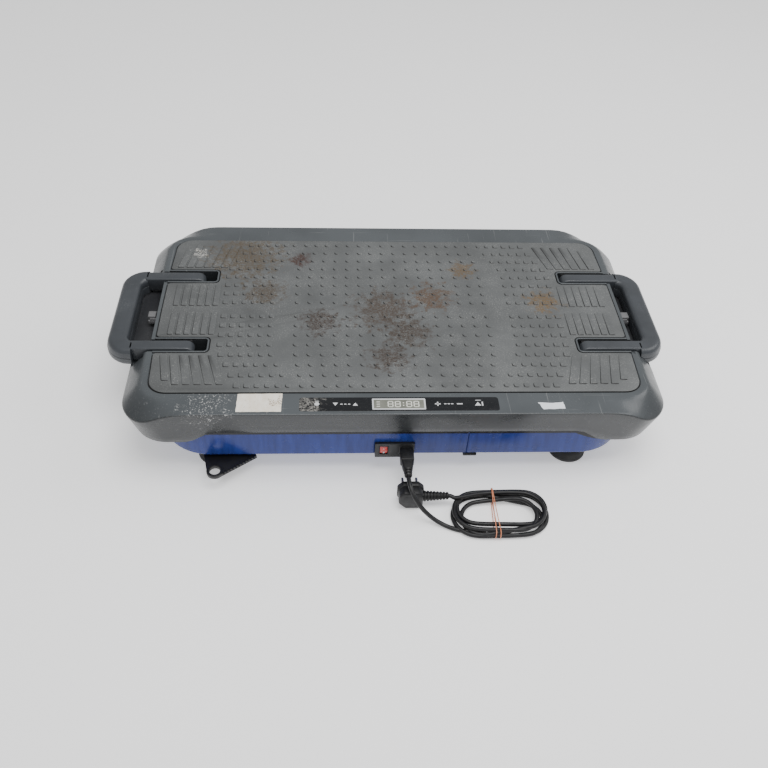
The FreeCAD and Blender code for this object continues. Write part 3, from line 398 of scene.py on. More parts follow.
def board_skin():
    """Green circuit board with a faint track pattern."""
    graph = Graph("board_green", (0.02, 0.09, 0.04), 0.4, coat=0.3)
    tracks = graph.spots(6, 0.49, 0.51, 1, 0.4, graph.stretched((1, 0.25, 1)))
    graph.colour(graph.mix(tracks, (0.012, 0.06, 0.028), (0.03, 0.14, 0.06)))
    graph.bump(tracks, 0.03, 0.4)
    return graph.material


SKINS = {
    "deck_grey": deck_skin(),
    "mat_grey": mat_skin(),
    "handle_grey": moulded("handle_plastic", HANDLE_COLOUR, 0.4, grain=1.2, dust=0.45, coat=0.08),
    "base_blue": base_skin(),
    "black_plastic": moulded("black_plastic", (0.011, 0.011, 0.012), 0.42, dust=0.2),
    "black_gloss": strip_skin(),
    "lcd": lcd_skin(),
    "foot_rubber": moulded("foot_rubber", (0.016, 0.016, 0.017), 0.6, dust=0.6, relief=0.1),
    "switch_red": moulded("switch_red", (0.62, 0.05, 0.045), 0.3, spread=0.08, dust=0.2, coat=0.4),
    "steel": metal("steel", (0.56, 0.56, 0.55), 0.3),
    "painted_steel": moulded("painted_steel", (0.05, 0.052, 0.055), 0.45, relief=0.1, dust=0.2),
    "brass": metal("brass", (0.66, 0.5, 0.22), 0.32),
    "board_green": board_skin(),
    "belt_rubber": moulded("belt_rubber", (0.014, 0.014, 0.015), 0.65, relief=0.1),
    "alu": metal("alu", (0.68, 0.69, 0.7), 0.35, (8, 1, 1)),
    "cord_black": moulded("cord_black", (0.004, 0.004, 0.005), 0.5, spread=0.2, grain=0.7, dust=0.25),
    "band_orange": band_skin(),
}
PRINT_WHITE = moulded("print_white", (0.62, 0.63, 0.64), 0.5, spread=0.1, dust=0.0)
SEGMENT_PALE = moulded("segment_pale", (0.85, 0.85, 0.78), 0.4, dust=0.0)
LABEL_CREAM = label_skin()
LABEL_WHITE = moulded("label_white", (0.83, 0.86, 0.9), 0.6, spread=0.04, dust=0.1)
WELL_DARK = moulded("well_dark", (0.022, 0.023, 0.026), 0.5, dust=0.25)
# painted shade: a near-black sheet for the narrow joint round the mat
GAP_SHADE_BLACK = moulded("gap_shade_black", (0.006, 0.006, 0.007), 0.8, dust=0.0)

for cad_piece in NODES.values():
    for holder in cad_piece.material_slots:
        holder.material = SKINS[holder.material.name.split(".")[0]]

# ---------------------------------------------------------------- mesh helpers


def finish_mesh(mesh, sharp=35):
    """Smooth shading with creases where faces meet at more than that many degrees."""
    bm = bmesh.new()
    bm.from_mesh(mesh)
    bmesh.ops.remove_doubles(bm, verts=bm.verts, dist=0.00001)
    bmesh.ops.recalc_face_normals(bm, faces=bm.faces)
    for face in bm.faces:
        face.smooth = True
    bm.to_mesh(mesh)
    bm.free()
    mesh.set_sharp_from_angle(angle=math.radians(sharp))


def new_object(name, verts, faces):
    """An object from points in millimetres about the deck's middle."""
    mesh = bpy.data.meshes.new(name)
    mesh.from_pydata([at(*v) for v in verts], [], faces)
    return linked(name, mesh)


def bake_modifiers(item):
    """Puts what an object's modifiers make into its mesh."""
    graph = bpy.context.evaluated_depsgraph_get()
    mesh = bpy.data.meshes.new_from_object(item.evaluated_get(graph))
    item.modifiers.clear()
    item.data = mesh


def bevelled(item, width, segments=2, angle=35):
    """Rounds an object's edges that are sharper than angle by width millimetres."""
    change = item.modifiers.new("bevel", "BEVEL")
    change.width = width * MM
    change.segments = segments
    change.limit_method = "ANGLE"
    change.angle_limit = math.radians(angle)
    change.use_clamp_overlap = True
    bake_modifiers(item)
    return item


def combined(item, tool, operation):
    """Adds or cuts away a tool object, which then goes."""
    change = item.modifiers.new(operation, "BOOLEAN")
    change.operation = operation
    change.solver = "EXACT"
    change.use_self = True
    change.object = tool
    bake_modifiers(item)
    bpy.data.objects.remove(tool)
    return item


def joined(name, parts):
    """One object out of several."""
    bm = bmesh.new()
    for part in parts:
        bm.from_mesh(part.data)
        bpy.data.objects.remove(part)
    mesh = bpy.data.meshes.new(name)
    bm.to_mesh(mesh)
    bm.free()
    return linked(name, mesh)


def show(item, body, slot, nodes=(), skin=None, sharp=35):
    """Gives a finished piece its body, its material and the CAD nodes that it stands for."""
    finish_mesh(item.data, sharp)
    item.data.materials.clear()
    item.data.materials.append(skin or SKINS[slot])
    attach(item, body)
    if nodes:
        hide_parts(*nodes)
    return item


def loft(rings, cap_first=True, cap_last=True):
    """Points and faces of a skin over closed rings of equal length."""
    count = len(rings[0])
    verts = [point for ring in rings for point in ring]
    faces = []
    for r in range(len(rings) - 1):
        for i in range(count):
            j = (i + 1) % count
            faces.append((r * count + i, r * count + j, (r + 1) * count + j, (r + 1) * count + i))
    if cap_first:
        faces.append(tuple(reversed(range(count))))
    if cap_last:
        faces.append(tuple(range((len(rings) - 1) * count, len(rings) * count)))
    return verts, faces


def arc(cx, cy, radius, start, end, steps):
    """Points on an arc from start to end degrees."""
    turns = [math.radians(start + (end - start) * k / steps) for k in range(steps + 1)]
    return [(cx + radius * math.cos(t), cy + radius * math.sin(t)) for t in turns]


def rounded_rect(half_x, half_y, corner, steps=8, along_x=1, along_y=1, x=0.0, y=0.0):
    """A rounded rectangle's outline, with along_x and along_y runs on its straight sides."""
    points = []
    for sx, sy, start in ((1, 1, 0), (-1, 1, 90), (-1, -1, 180), (1, -1, 270)):
        turn = arc(x + sx * (half_x - corner), y + sy * (half_y - corner), corner, start, start + 90, steps)
        if points:
            runs = along_x if start in (90, 270) else along_y
            last, first = points[-1], turn[0]
            points += [(last[0] + (first[0] - last[0]) * k / runs, last[1] + (first[1] - last[1]) * k / runs)
                       for k in range(1, runs)]
        points += turn
    last, first = points[-1], points[0]
    points += [(last[0] + (first[0] - last[0]) * k / along_y, last[1] + (first[1] - last[1]) * k / along_y)
               for k in range(1, along_y)]
    return points


def prism(name, outline, low, high, plane="xy"):
    """A closed solid over an outline. Plane xz runs along y from low to high, and yz along x."""
    order = {"xy": lambda u, v, w: (u, v, w), "xz": lambda u, v, w: (u, w, v),
             "yz": lambda u, v, w: (w, u, v)}[plane]
    rings = [[order(u, v, w) for u, v in outline] for w in (low, high)]
    return new_object(name, *loft(rings))


def block(name, x, y, z):
    """A box between three (low, high) pairs, as raw material for a bevel or a cut."""
    return prism(name, [(x[0], y[0]), (x[1], y[0]), (x[1], y[1]), (x[0], y[1])], *z)


def turned(name, profile, centre, axis="z", steps=48):
    """A closed solid of (radius, height) points turned about an axis through centre."""
    rings = []
    for radius, height in profile:
        ring = []
        for u, v in arc(0, 0, max(radius, 0.01), 0, 360, steps)[:-1]:
            place = {"z": (u, v, height), "y": (u, height, v), "x": (height, u, v)}[axis]
            ring.append(tuple(c + p for c, p in zip(centre, place)))
        rings.append(ring)
    return new_object(name, *loft(rings))


# ---------------------------------------------------------------- deck shell

MAT_TOP, DECK_TOP, RECESS = 132.0, 130.0, 129.0
SHELL = 2.5
DECK_HALF_X, DECK_HALF_Y, DECK_CORNER = 368.0, 212.0, 50.0
DRAFT = math.tan(math.radians(12.8))
CREASE_FALL, FALL_START, FALL_END = 26.0, 262.0, 358.0
SKIRT_LOW, SKIRT_END_LOW = 86.0, 62.0
MAT_HALF_X, MAT_HALF_Y, MAT_CORNER = 333.0, 172.0, 24.0
MAT_BOW = 3.0
BORDER_X, BORDER_Y, BORDER_CORNER = 334.6, 173.3, 25.3
CREST = 0.22
CREASE_SHARE = 0.045
SLOT_END, SLOT_CENTRE, SLOT_HALF, SLOT_FLOOR = 261.0, 78.0, 12.5, 106.7
NOTCH_START, NOTCH_HALF, GRIP_NOTCH_START, GRIP_NOTCH_HALF, NOTCH_FLOOR = 339.0, 66.0, 346.0, 98.0, 103.5
LIP = 3.0
LINING_INSET = 0.4
CORNER_STEPS, RUNS_X, RUNS_Y = 12, 52, 24


def smooth(t):
    t = min(1.0, max(0.0, t))
    return t * t * (3 - 2 * t)


def bowed(x, y):
    """A place across the mat, drawn in where the mat's ends bow."""
    return x * (1 - MAT_BOW / MAT_HALF_X * (y / MAT_HALF_Y) ** 2)


def crease_level(x):
    """Height of the deck's outer crease, which falls towards both ends."""
    return DECK_TOP - CREASE_FALL * smooth((abs(x) - FALL_START) / (FALL_END - FALL_START)) ** 1.6


def skirt_level(x):
    """Height of the skirt's lower edge, which hangs lower at both ends."""
    share = smooth((abs(x) - SKIRT_STRAIGHT) / (SKIRT_END - SKIRT_STRAIGHT))
    return SKIRT_LOW + (SKIRT_END_LOW - SKIRT_LOW) * share


def deck_outline(levels, inset=0.0):
    """The drafted outline, with one level for each of its points or the same for all."""
    if not isinstance(levels, list):
        levels = [levels] * (4 * (CORNER_STEPS + 1) + 2 * (RUNS_X + RUNS_Y - 2))
    points = []
    for i, height in enumerate(levels):
        half_x = DECK_HALF_X + (height - (DECK_TOP - CREASE_FALL)) * DRAFT - inset
        half_y = DECK_HALF_Y - (DECK_TOP - height) * DRAFT - inset
        ring = rounded_rect(half_x, half_y, DECK_CORNER - inset, CORNER_STEPS, RUNS_X, RUNS_Y)
        points.append((*ring[i], height))
    return points


def deck_rings(inset):
    """Rings over the border, round the crease and down the skirt, moved in by a wall."""
    flat = [(bowed(x, y), y)
            for x, y in rounded_rect(BORDER_X, BORDER_Y, BORDER_CORNER, CORNER_STEPS, RUNS_X, RUNS_Y)]
    rough = deck_outline(DECK_TOP - CREASE_FALL / 2)
    crease = deck_outline([crease_level(p[0]) for p in rough])
    low = deck_outline([skirt_level(p[0]) for p in crease], inset)
    crease_in = deck_outline([p[2] for p in crease], inset)
    rings = []
    for t in (0.0, 0.1, 0.2, 0.28, 0.36, 0.46, 0.6, 0.75, 0.87, 1 - CREASE_SHARE):
        fall = max(0.0, (t - CREST) / (1 - CREST)) ** 1.25
        rings.append([
            (a[0] + (c[0] - a[0]) * t, a[1] + (c[1] - a[1]) * t, DECK_TOP - inset + (c[2] - DECK_TOP) * fall)
            for a, c in zip(flat, crease_in)
        ])
    inner, outer = rings[-1], [
        (c[0] + (b[0] - c[0]) * CREASE_SHARE, c[1] + (b[1] - c[1]) * CREASE_SHARE,
         c[2] - inset + (b[2] - c[2]) * CREASE_SHARE)
        for c, b in zip(crease_in, low)
    ]
    corner = [(c[0], c[1], c[2] - inset) for c in crease_in]
    for u in (0.2, 0.4, 0.6, 0.8):
        rings.append([
            tuple((1 - u) ** 2 * a + 2 * u * (1 - u) * b + u * u * c for a, b, c in zip(p, q, r))
            for p, q, r in zip(inner, corner, outer)
        ])
    for t in (CREASE_SHARE, 0.3, 0.55, 0.8, 1.0):
        rings.append([
            (c[0] + (b[0] - c[0]) * t, c[1] + (b[1] - c[1]) * t,
             c[2] - inset + (b[2] - c[2] + inset) * t)
            for c, b in zip(crease_in, low)
        ])
    return rings


def well_boxes(grow):
    """The handle slots and end notches as separate boxes, grown by a lining."""
    far = DECK_HALF_X + 30
    boxes = []
    for sx in SIDES.values():
        def along(start):
            return sorted((sx * (start - grow), sx * far))
        top = DECK_TOP + 12 if grow == 0 else RECESS - 0.5
        for sy in (-1, 1):
            y = (sy * SLOT_CENTRE - SLOT_HALF - grow, sy * SLOT_CENTRE + SLOT_HALF + grow)
            boxes.append(block("slot", along(SLOT_END), y, (SLOT_FLOOR - grow, top)))
        for start, half in ((NOTCH_START, NOTCH_HALF), (GRIP_NOTCH_START, GRIP_NOTCH_HALF)):
            boxes.append(block("notch", along(start), (-half - grow, half + grow), (NOTCH_FLOOR - grow, top)))
    return boxes


def slot_outline(sx, sy, grow, far, corner):
    """The outline of one slot with rounded inner corners, open to the deck's end."""
    near = SLOT_END - grow
    half = SLOT_HALF + grow
    points = [(far, half), *arc(near + corner, half - corner, corner, 90, 180, 5),
              *arc(near + corner, corner - half, corner, 180, 270, 5), (far, -half)]
    return [(sx * x, sy * SLOT_CENTRE + y) for x, y in points]


def slot_lip(sx, sy):
    """The raised lip round one slot."""
    far = MAT_HALF_X + 1
    outer = slot_outline(sx, sy, LIP, far, 7)
    inner = slot_outline(sx, sy, 0, far, 4)
    return bevelled(prism("lip", outer + inner[::-1], RECESS - 0.5, MAT_TOP - 0.4), 0.9, 3)


def deck_shell():
    """A thin moulded shell with a recess for the mat, lined wells and a drafted skirt."""
    outside, inside = deck_rings(0.0), deck_rings(SHELL)
    recess = [[(x, y, RECESS) for x, y, z in outside[0]]]
    shell = new_object("deck_cover", *loft(recess + outside + inside[::-1]))
    form = deck_rings(LINING_INSET)
    foot = [[(x, y, SKIRT_END_LOW - 2 * CREASE_FALL) for x, y, z in form[-1]]]
    linings = joined("linings", well_boxes(SHELL))
    combined(linings, new_object("form", *loft(form + foot)), "INTERSECT")
    combined(shell, linings, "UNION")
    combined(shell, joined("wells", well_boxes(0.0)), "DIFFERENCE")
    bevelled(shell, 0.7, 2, 50)
    lips = [slot_lip(sx, sy) for sx in SIDES.values() for sy in (-1, 1)]
    return show(joined("deck_cover", [shell, *lips]), "deck", "deck_grey", ["deck_shell"], sharp=40)


deck_shell()

# ---------------------------------------------------------------- step mat

MAT_BASE = 131.1
ROW_START, ROW_STEP, ROWS = 16.0, 20.5, 8
FIELD_STEP, FIELD_COLUMNS = 18.45, 8
SIDE_START, SIDE_STEP, SIDE_COLUMNS = 175.0, 13.6, 6
LEAN_FROM, LEAN_PER_ROW = 90.0, 8.5
TILE_EDGE, TILE_SHIFT = 0.55, 0.42
GAP_WIDTH = 1.4
SLOT_GAP = 4.2


def lean(y, full):
    """How far a column has moved toward the middle of the mat at a row beyond the slots."""
    return full * max(0.0, (abs(y) - LEAN_FROM) / ROW_STEP)


def mat_edge():
    """The mat's outline: bowed ends, round corners, and a way in round each slot."""
    def bow(y):
        return MAT_HALF_X - MAT_BOW * (y / MAT_HALF_Y) ** 2

    near, half = SLOT_END - SLOT_GAP, SLOT_HALF + SLOT_GAP
    quarter = arc(MAT_HALF_X - MAT_BOW - MAT_CORNER, MAT_HALF_Y - MAT_CORNER, MAT_CORNER, 0, 90, 10)
    upper, lower = SLOT_CENTRE + half, SLOT_CENTRE - half
    side = [(bow(0), 0.0), (bow(lower), lower - 5), *arc(bow(lower) - 5, lower - 5, 5, 0, 90, 4)[1:],
            *arc(near + 8, SLOT_CENTRE - half + 8, 8, 270, 180, 6),
            *arc(near + 8, SLOT_CENTRE + half - 8, 8, 180, 90, 6),
            *arc(bow(upper) - 4, upper + 4, 4, 270, 360, 4), *quarter]
    right_rear = side
    left_rear = [(-x, y) for x, y in reversed(side)]
    left_front = [(-x, -y) for x, y in side[1:]]
    right_front = [(x, -y) for x, y in reversed(side[1:])]
    return right_rear + left_rear + left_front + right_front


def tile(outline, tilt):
    """A raised tile of the mat: its left front edge stands proud and its other side runs out flush."""
    cx = sum(p[0] for p in outline) / len(outline)
    cy = sum(p[1] for p in outline) / len(outline)
    reach = max(abs(p[0] - cx) + abs(p[1] - cy) for p in outline)

    def level(x, y):
        return MAT_TOP - tilt * (0.5 + 0.5 * ((x - cx) + (y - cy)) / reach)

    def drawn_in(place, middle):
        reduced = max(0.0, abs(place - middle) - TILE_EDGE)
        return middle + math.copysign(reduced, place - middle) + TILE_SHIFT

    foot = [(x, y, MAT_BASE - 0.3) for x, y in outline]
    rim = [(x, y, MAT_BASE + 0.05) for x, y in outline]
    top = [(drawn_in(x, cx), drawn_in(y, cy), level(x, y)) for x, y in outline]
    return loft([foot, rim, top])


def stud(cx, cy, half, squareness):
    """A stud, round at squareness 0 and a rounded square at 1."""
    corner = half * (1 - 0.68 * squareness)
    return tile(rounded_rect(half, half, corner, 3, x=cx, y=cy), 0.55)


def long_rib(x_low, x_high, y_low, y_high, width):
    """A rib from y_low to y_high whose middle runs from x_low to x_high."""
    outline = [(x + (x_low + (x_high - x_low) * (y - y_low) / (y_high - y_low)), y)
               for x, y in rounded_rect(width / 2, (y_high - y_low) / 2, 1.6, 3, y=(y_low + y_high) / 2)]
    return tile(outline, 0.45)


def mat_tiles():
    """Studs in the middle, squarer ones towards the ends, and long ribs round the slots."""
    tiles = []
    rows = [sy * (ROW_START + ROW_STEP * r) for sy in (-1, 1) for r in range(ROWS)]
    for y in rows:
        for sx in SIDES.values():
            for k in range(FIELD_COLUMNS):
                x = FIELD_STEP * (k + 0.5)
                x -= lean(y, LEAN_PER_ROW * 0.6) * (x / SIDE_START) ** 2
                tiles.append(stud(sx * x, y, 4.1 + 0.08 * k, 0.0))
            for k in range(SIDE_COLUMNS):
                x = SIDE_START + SIDE_STEP * k - lean(y, LEAN_PER_ROW)
                share = k / (SIDE_COLUMNS - 1)
                tiles.append(stud(sx * x, y, 4.3 + 0.6 * share, 0.35 + 0.65 * share))
    for sx in SIDES.values():
        for sy in (-1, 1):
            for k in range(6):
                x = 314.5 - 11.4 * k
                ends = sorted((sy * 7.0, sy * 57.0))
                tiles.append(long_rib(sx * x, sx * x, *ends, 9.2))
            for k in range(6):
                near, far = 318.0 - 13.0 * k, 309.0 - 14.6 * k
                inner, outer = (near, far) if sy > 0 else (far, near)
                y_near, y_far = 99.0, 158.0 if k else 150.0
                ends = sorted((sy * y_near, sy * y_far))
                tiles.append(long_rib(sx * inner, sx * outer, *ends, 10.6))
    return tiles


def step_mat():
    """The rubber mat with its raised pattern, lying in the deck's recess."""
    edge = mat_edge()
    mat = bevelled(prism("mat_sheet", edge, RECESS + 0.1, MAT_BASE), 0.6, 2)
    verts, faces = [], []
    for points, sides in mat_tiles():
        faces += [tuple(len(verts) + i for i in side) for side in sides]
        verts += points
    pattern = new_object("pattern", verts, faces)
    return show(joined("step_mat_rubber", [mat, pattern]), "deck", "mat_grey", ["step_mat"], sharp=32)


def mat_gap_shade():
    """A near-black sheet under the mat's edge: painted shade in the joint that shows round the mat."""
    wide, deep = 1 + GAP_WIDTH / MAT_HALF_X, 1 + GAP_WIDTH / MAT_HALF_Y
    sheet = prism("mat_joint_shade", [(x * wide, y * deep) for x, y in mat_edge()], RECESS - 0.05, RECESS + 0.3)
    return show(sheet, "deck", "mat_grey", skin=GAP_SHADE_BLACK)


step_mat()
mat_gap_shade()

# ---------------------------------------------------------------- control strip and labels

STRIP_Y, STRIP_HALF_X, STRIP_HALF_Y, STRIP_TOP = -193.5, 131.0, 12.5, 130.2
WINDOW_X, WINDOW_HALF_X, WINDOW_HALF_Y, RIM_X, RIM_Y = -1.0, 35.0, 10.0, 2.0, 2.1
GLASS_TOP = STRIP_TOP - 0.06


def flat_mark(name, outlines, low, high, slot, skin):
    """Thin closed shapes printed or stuck on the deck."""
    parts = [prism(name, outline, low, high) for outline in outlines]
    show(joined(name, parts), "deck", slot, skin=skin)


def rectangle(x, y, half_x, half_y):
    return [(x - half_x, y - half_y), (x + half_x, y - half_y), (x + half_x, y + half_y),
            (x - half_x, y + half_y)]


def control_strip():
    """The black film with rounded ends, and its display window's rim and glass."""
    film = rounded_rect(STRIP_HALF_X, STRIP_HALF_Y, 4, 6, y=STRIP_Y)
    strip = prism("control_film", film, RECESS, STRIP_TOP)
    through = RECESS - 1, STRIP_TOP + 1
    hole = block("hole", (WINDOW_X - WINDOW_HALF_X, WINDOW_X + WINDOW_HALF_X),
                 (STRIP_Y - WINDOW_HALF_Y, STRIP_Y + WINDOW_HALF_Y), through)
    combined(strip, hole, "DIFFERENCE")
    show(bevelled(strip, 0.25), "deck", "black_gloss", ["control_strip"])

    def pane(inset_x, inset_y, corner):
        return rounded_rect(WINDOW_HALF_X - inset_x, WINDOW_HALF_Y - inset_y, corner, 4, x=WINDOW_X, y=STRIP_Y)

    rim = prism("display_rim", pane(0, 0, 1.2), RECESS, STRIP_TOP + 0.1)
    combined(rim, prism("inner", pane(RIM_X, RIM_Y, 0.8), *through), "DIFFERENCE")
    show(rim, "deck", "black_gloss", skin=PRINT_WHITE)
    glass = prism("display_glass", pane(RIM_X - 0.1, RIM_Y - 0.1, 0.8), RECESS, GLASS_TOP)
    show(glass, "deck", "lcd", ["display_window"])


# centre and half sizes of a digit's seven bars, in a cell one unit wide and two high
SEGMENTS = [(0, y, 0.42, 0.09) for y in (1, 0, -1)]
SEGMENTS += [(x, y, 0.09, 0.4) for y in (0.5, -0.5) for x in (-0.5, 0.5)]


def display_digits():
    """Four full seven-segment digits with a colon between the pairs."""
    bars = []
    wide, tall = 6.24, 4.94
    middle = WINDOW_X + 6
    for x in (-17, -7.5, 7.5, 17):
        for cx, cy, half_x, half_y in SEGMENTS:
            bars.append(rectangle(middle + x + cx * wide, STRIP_Y + cy * tall, half_x * wide, half_y * tall))
    bars += [rectangle(middle, STRIP_Y + dy, 0.7, 0.7) for dy in (-2.4, 2.4)]
    bars += [rectangle(WINDOW_X - 27, STRIP_Y + dy, 2.2, 0.5) for dy in (-4, 0, 4)]
    flat_mark("display_digits", bars, GLASS_TOP - 0.04, GLASS_TOP + 0.05, "black_gloss", SEGMENT_PALE)


def touch_symbols():
    """Power, arrows, plus and minus, and a start triangle."""
    def triangle(x, y, half, up):
        return [(x - half, y - up * half * 0.8), (x + half, y - up * half * 0.8), (x, y + up * half * 0.8)]

    marks = [arc(-108, STRIP_Y + 0.5, 3.2, 0, 345, 22), rectangle(-108, STRIP_Y + 5.6, 2.6, 0.45)]
    marks += [triangle(-84, STRIP_Y, 3.4, -1), triangle(-58, STRIP_Y, 3.4, 1)]
    marks += [rectangle(x, STRIP_Y, 1.5, 0.7) for x in (-76, -71, -66)]
    marks += [rectangle(x, STRIP_Y, 1.5, 0.7) for x in (60, 64.5, 69)]
    marks += [rectangle(50, STRIP_Y, 3.8, 0.9), rectangle(50, STRIP_Y, 0.9, 3.6)]
    marks += [rectangle(79, STRIP_Y, 3.8, 0.9)]
    marks += [triangle(103, STRIP_Y, 4.2, 1), rectangle(109, STRIP_Y, 0.9, 3.6),
              rectangle(104, STRIP_Y + 6.4, 3.6, 0.5)]
    outlines = [m if polygon_turn(m) > 0 else m[::-1] for m in marks]
    flat_mark("touch_symbols", outlines, STRIP_TOP - 0.05, STRIP_TOP + 0.12, "black_gloss", PRINT_WHITE)


def polygon_turn(points):
    """Twice the signed area of an outline, above 0 where it runs anticlockwise."""
    return sum(a[0] * b[1] - b[0] * a[1] for a, b in zip(points, points[1:] + points[:1]))


def ragged(corners, steps, jitter):
    """An outline whose sides wander a little, as torn paper does."""
    points = []
    for a, b in zip(corners, corners[1:] + corners[:1]):
        for k in range(steps):
            t = k / steps
            wander = jitter if k else jitter * 0.3
            points.append((a[0] + (b[0] - a[0]) * t + rng.uniform(-wander, wander),
                           a[1] + (b[1] - a[1]) * t + rng.uniform(-wander, wander)))
    return points


def labels():
    """A blank cream label on the left of the strip and the torn rest of a white one on its right."""
    levels = DECK_TOP - 0.1, DECK_TOP + 0.18
    cream = ragged([(-212, -206.5), (-154, -206.5), (-153, -173.5), (-211.5, -174)], 10, 0.25)
    flat_mark("blank_label_left", [cream], *levels, "deck_grey", LABEL_CREAM)
    torn = ragged([(189, -204), (218, -203), (217, -190.5), (203, -192.5), (183, -191.5), (186, -197)],
                  4, 0.6)
    flat_mark("torn_label_right", [torn], *levels, "deck_grey", LABEL_WHITE)


control_strip()
display_digits()
touch_symbols()
labels()

# ---------------------------------------------------------------- handles

ARM_WIDTH, ARM_HEIGHT, GRIP_START, GRIP_REACH = 19.0, 22.0, 349.0, 387.0
GRIP_LOW, GRIP_SPLIT = 106.0, 119.0
GRIP_INNER_R, GRIP_OUTER_R, GRIP_THICK, GRIP_HALF = 12.0, 36.0, 30.0, 95.0
PIVOT_X = 275.0
SEAM = 0.35
LEDGE_REACH, LEDGE_HALF = 6.0, 74.0
INNER_ROUND = 0.6
SHOE_HALF_X, SHOE_HALF_Y, THROAT_HALF_Y, PIN_RADIUS, PIN_CHAMFER = 8.0, 12.0, 9.9, 4.0, 0.6


def grip_section(inner, outer, low, high, round_low, round_high):
    """A D-shaped section between an inner and an outer point of the grip's plan."""
    reach = math.dist(inner, outer)
    ux, uy = (outer[0] - inner[0]) / reach, (outer[1] - inner[1]) / reach
    flat = [
        *arc(reach - round_high * 1.15, high - round_high, round_high, 90, 0, 6),
        *arc(reach - round_low, low + round_low, round_low, 0, -90, 4),
        *arc(INNER_ROUND, low + INNER_ROUND, INNER_ROUND, -90, -180, 4),
        *arc(round_high * 0.8, high - round_high * 0.8, round_high * 0.8, 180, 90, 6),
    ]
    return [(inner[0] + ux * a, inner[1] + uy * a, z) for a, z in flat]


def grip_path():
    """Pairs of inner and outer plan points from the rear arm round to the front arm."""
    inner_x, inner_y = GRIP_REACH - GRIP_THICK - GRIP_INNER_R, SLOT_CENTRE - ARM_WIDTH / 2 - GRIP_INNER_R
    outer_x, outer_y = GRIP_REACH - GRIP_OUTER_R, GRIP_HALF - GRIP_OUTER_R
    pairs = [((GRIP_START, inner_y + 11.3), (GRIP_START, GRIP_HALF))]
    for degrees in range(72, -1, -8):
        t = math.radians(degrees)
        pairs.append(((inner_x + GRIP_INNER_R * math.cos(t), inner_y + GRIP_INNER_R * math.sin(t)),
                      (outer_x + GRIP_OUTER_R * math.cos(t), outer_y + GRIP_OUTER_R * math.sin(t))))
    half = pairs + [((GRIP_REACH - GRIP_THICK, y), (GRIP_REACH, y)) for y in (40, 20)]
    mirrored = [tuple((x, -y) for x, y in pair) for pair in reversed(half)]
    return half + [((GRIP_REACH - GRIP_THICK, 0), (GRIP_REACH, 0))] + mirrored


def handle(side):
    """A U-shaped grip of two shells on two arms, with pivot pins in sliding shoes."""
    sx = SIDES[side]
    low, high = span(f"{side}_grip_upper")
    pull = max(abs(low.x), abs(high.x)) - GRIP_REACH

    def out(point):
        return (sx * (point[0] + pull), point[1], point[2])

    for half, levels, rounds in (("upper", (GRIP_SPLIT + SEAM / 2, MAT_TOP), (0.6, 8.5)),
                                 ("lower", (GRIP_LOW, GRIP_SPLIT - SEAM / 2), (7.0, 0.6))):
        rings = [[out(p) for p in grip_section(i, o, *levels, *rounds)] for i, o in grip_path()]
        show(new_object(f"{side}_handle_{half}_shell", *loft(rings)), f"{side}_handle", "handle_grey",
             [f"{side}_grip_{half}"], sharp=50)

    radius = ARM_HEIGHT / 2
    nose = arc(PIVOT_X, MAT_TOP - radius, radius, 90, 270, 12)
    side_view = [(GRIP_START + 4, MAT_TOP), *nose, (GRIP_START + 4, MAT_TOP - ARM_HEIGHT)]
    arms, shoes, pins = [], [], []
    for sy in (-1, 1):
        y = sy * SLOT_CENTRE
        outline = [(sx * (x + pull), z) for x, z in side_view]
        arms.append(bevelled(prism("arm", outline, y - ARM_WIDTH / 2 + 0.4, y + ARM_WIDTH / 2 - 0.4, "xz"),
                             2.2, 3))
        place = sx * (PIVOT_X + pull)
        body = block("shoe", (place - SHOE_HALF_X, place + SHOE_HALF_X), (y - SHOE_HALF_Y, y + SHOE_HALF_Y),
                     (SLOT_FLOOR + 0.4, MAT_TOP - 3))
        throat = block("throat", (place - SHOE_HALF_X - 1, place + SHOE_HALF_X + 1),
                       (y - THROAT_HALF_Y, y + THROAT_HALF_Y), (SLOT_FLOOR + 2.3, MAT_TOP + 1))
        shoes.append(bevelled(combined(body, throat, "DIFFERENCE"), 0.4))
        neck = PIN_RADIUS - PIN_CHAMFER
        ends = [(0, y - SHOE_HALF_Y), (neck, y - SHOE_HALF_Y), (PIN_RADIUS, y - SHOE_HALF_Y + PIN_CHAMFER),
                (PIN_RADIUS, y + SHOE_HALF_Y - PIN_CHAMFER), (neck, y + SHOE_HALF_Y), (0, y + SHOE_HALF_Y)]
        pins.append(turned("pin", ends, (place, 0, MAT_TOP - radius), "y", 24))
    show(joined(f"{side}_handle_arm_pair", arms), f"{side}_handle", "handle_grey", [f"{side}_handle_arms"])
    show(joined(f"{side}_slide_shoes", shoes), f"{side}_slide", "black_plastic", [f"{side}_handle_sliders"])
    show(joined(f"{side}_pivot_pins", pins), f"{side}_slide", "steel", [f"{side}_handle_pins"])


def end_bracket(side):
    """The bracket on the deck's end wall, with ribs and a light stop block."""
    sx = SIDES[side]

    def along(near, far):
        return sorted((sx * near, sx * far))

    arm_reach, arm_low, arm_top = 354, 110, 116
    parts = [bevelled(block("arm", along(NOTCH_START, arm_reach), (-9, 9), (arm_low, arm_top)), 0.8, 2)]
    parts.append(bevelled(block("stop", along(343, arm_reach), (-6.3, 6.3), (arm_top - 0.5, 122)), 1.0, 2))
    for y in (-7.5, 7.5):
        rib = block("rib", along(NOTCH_START, arm_reach - 3), (y - 1, y + 1), (arm_top - 1, arm_top + 3))
        parts.append(bevelled(rib, 0.4))
    show(joined(f"{side}_stop_bracket", parts), "deck", "black_plastic", [f"{side}_end_bracket"],
         skin=BRACKET_GREY)


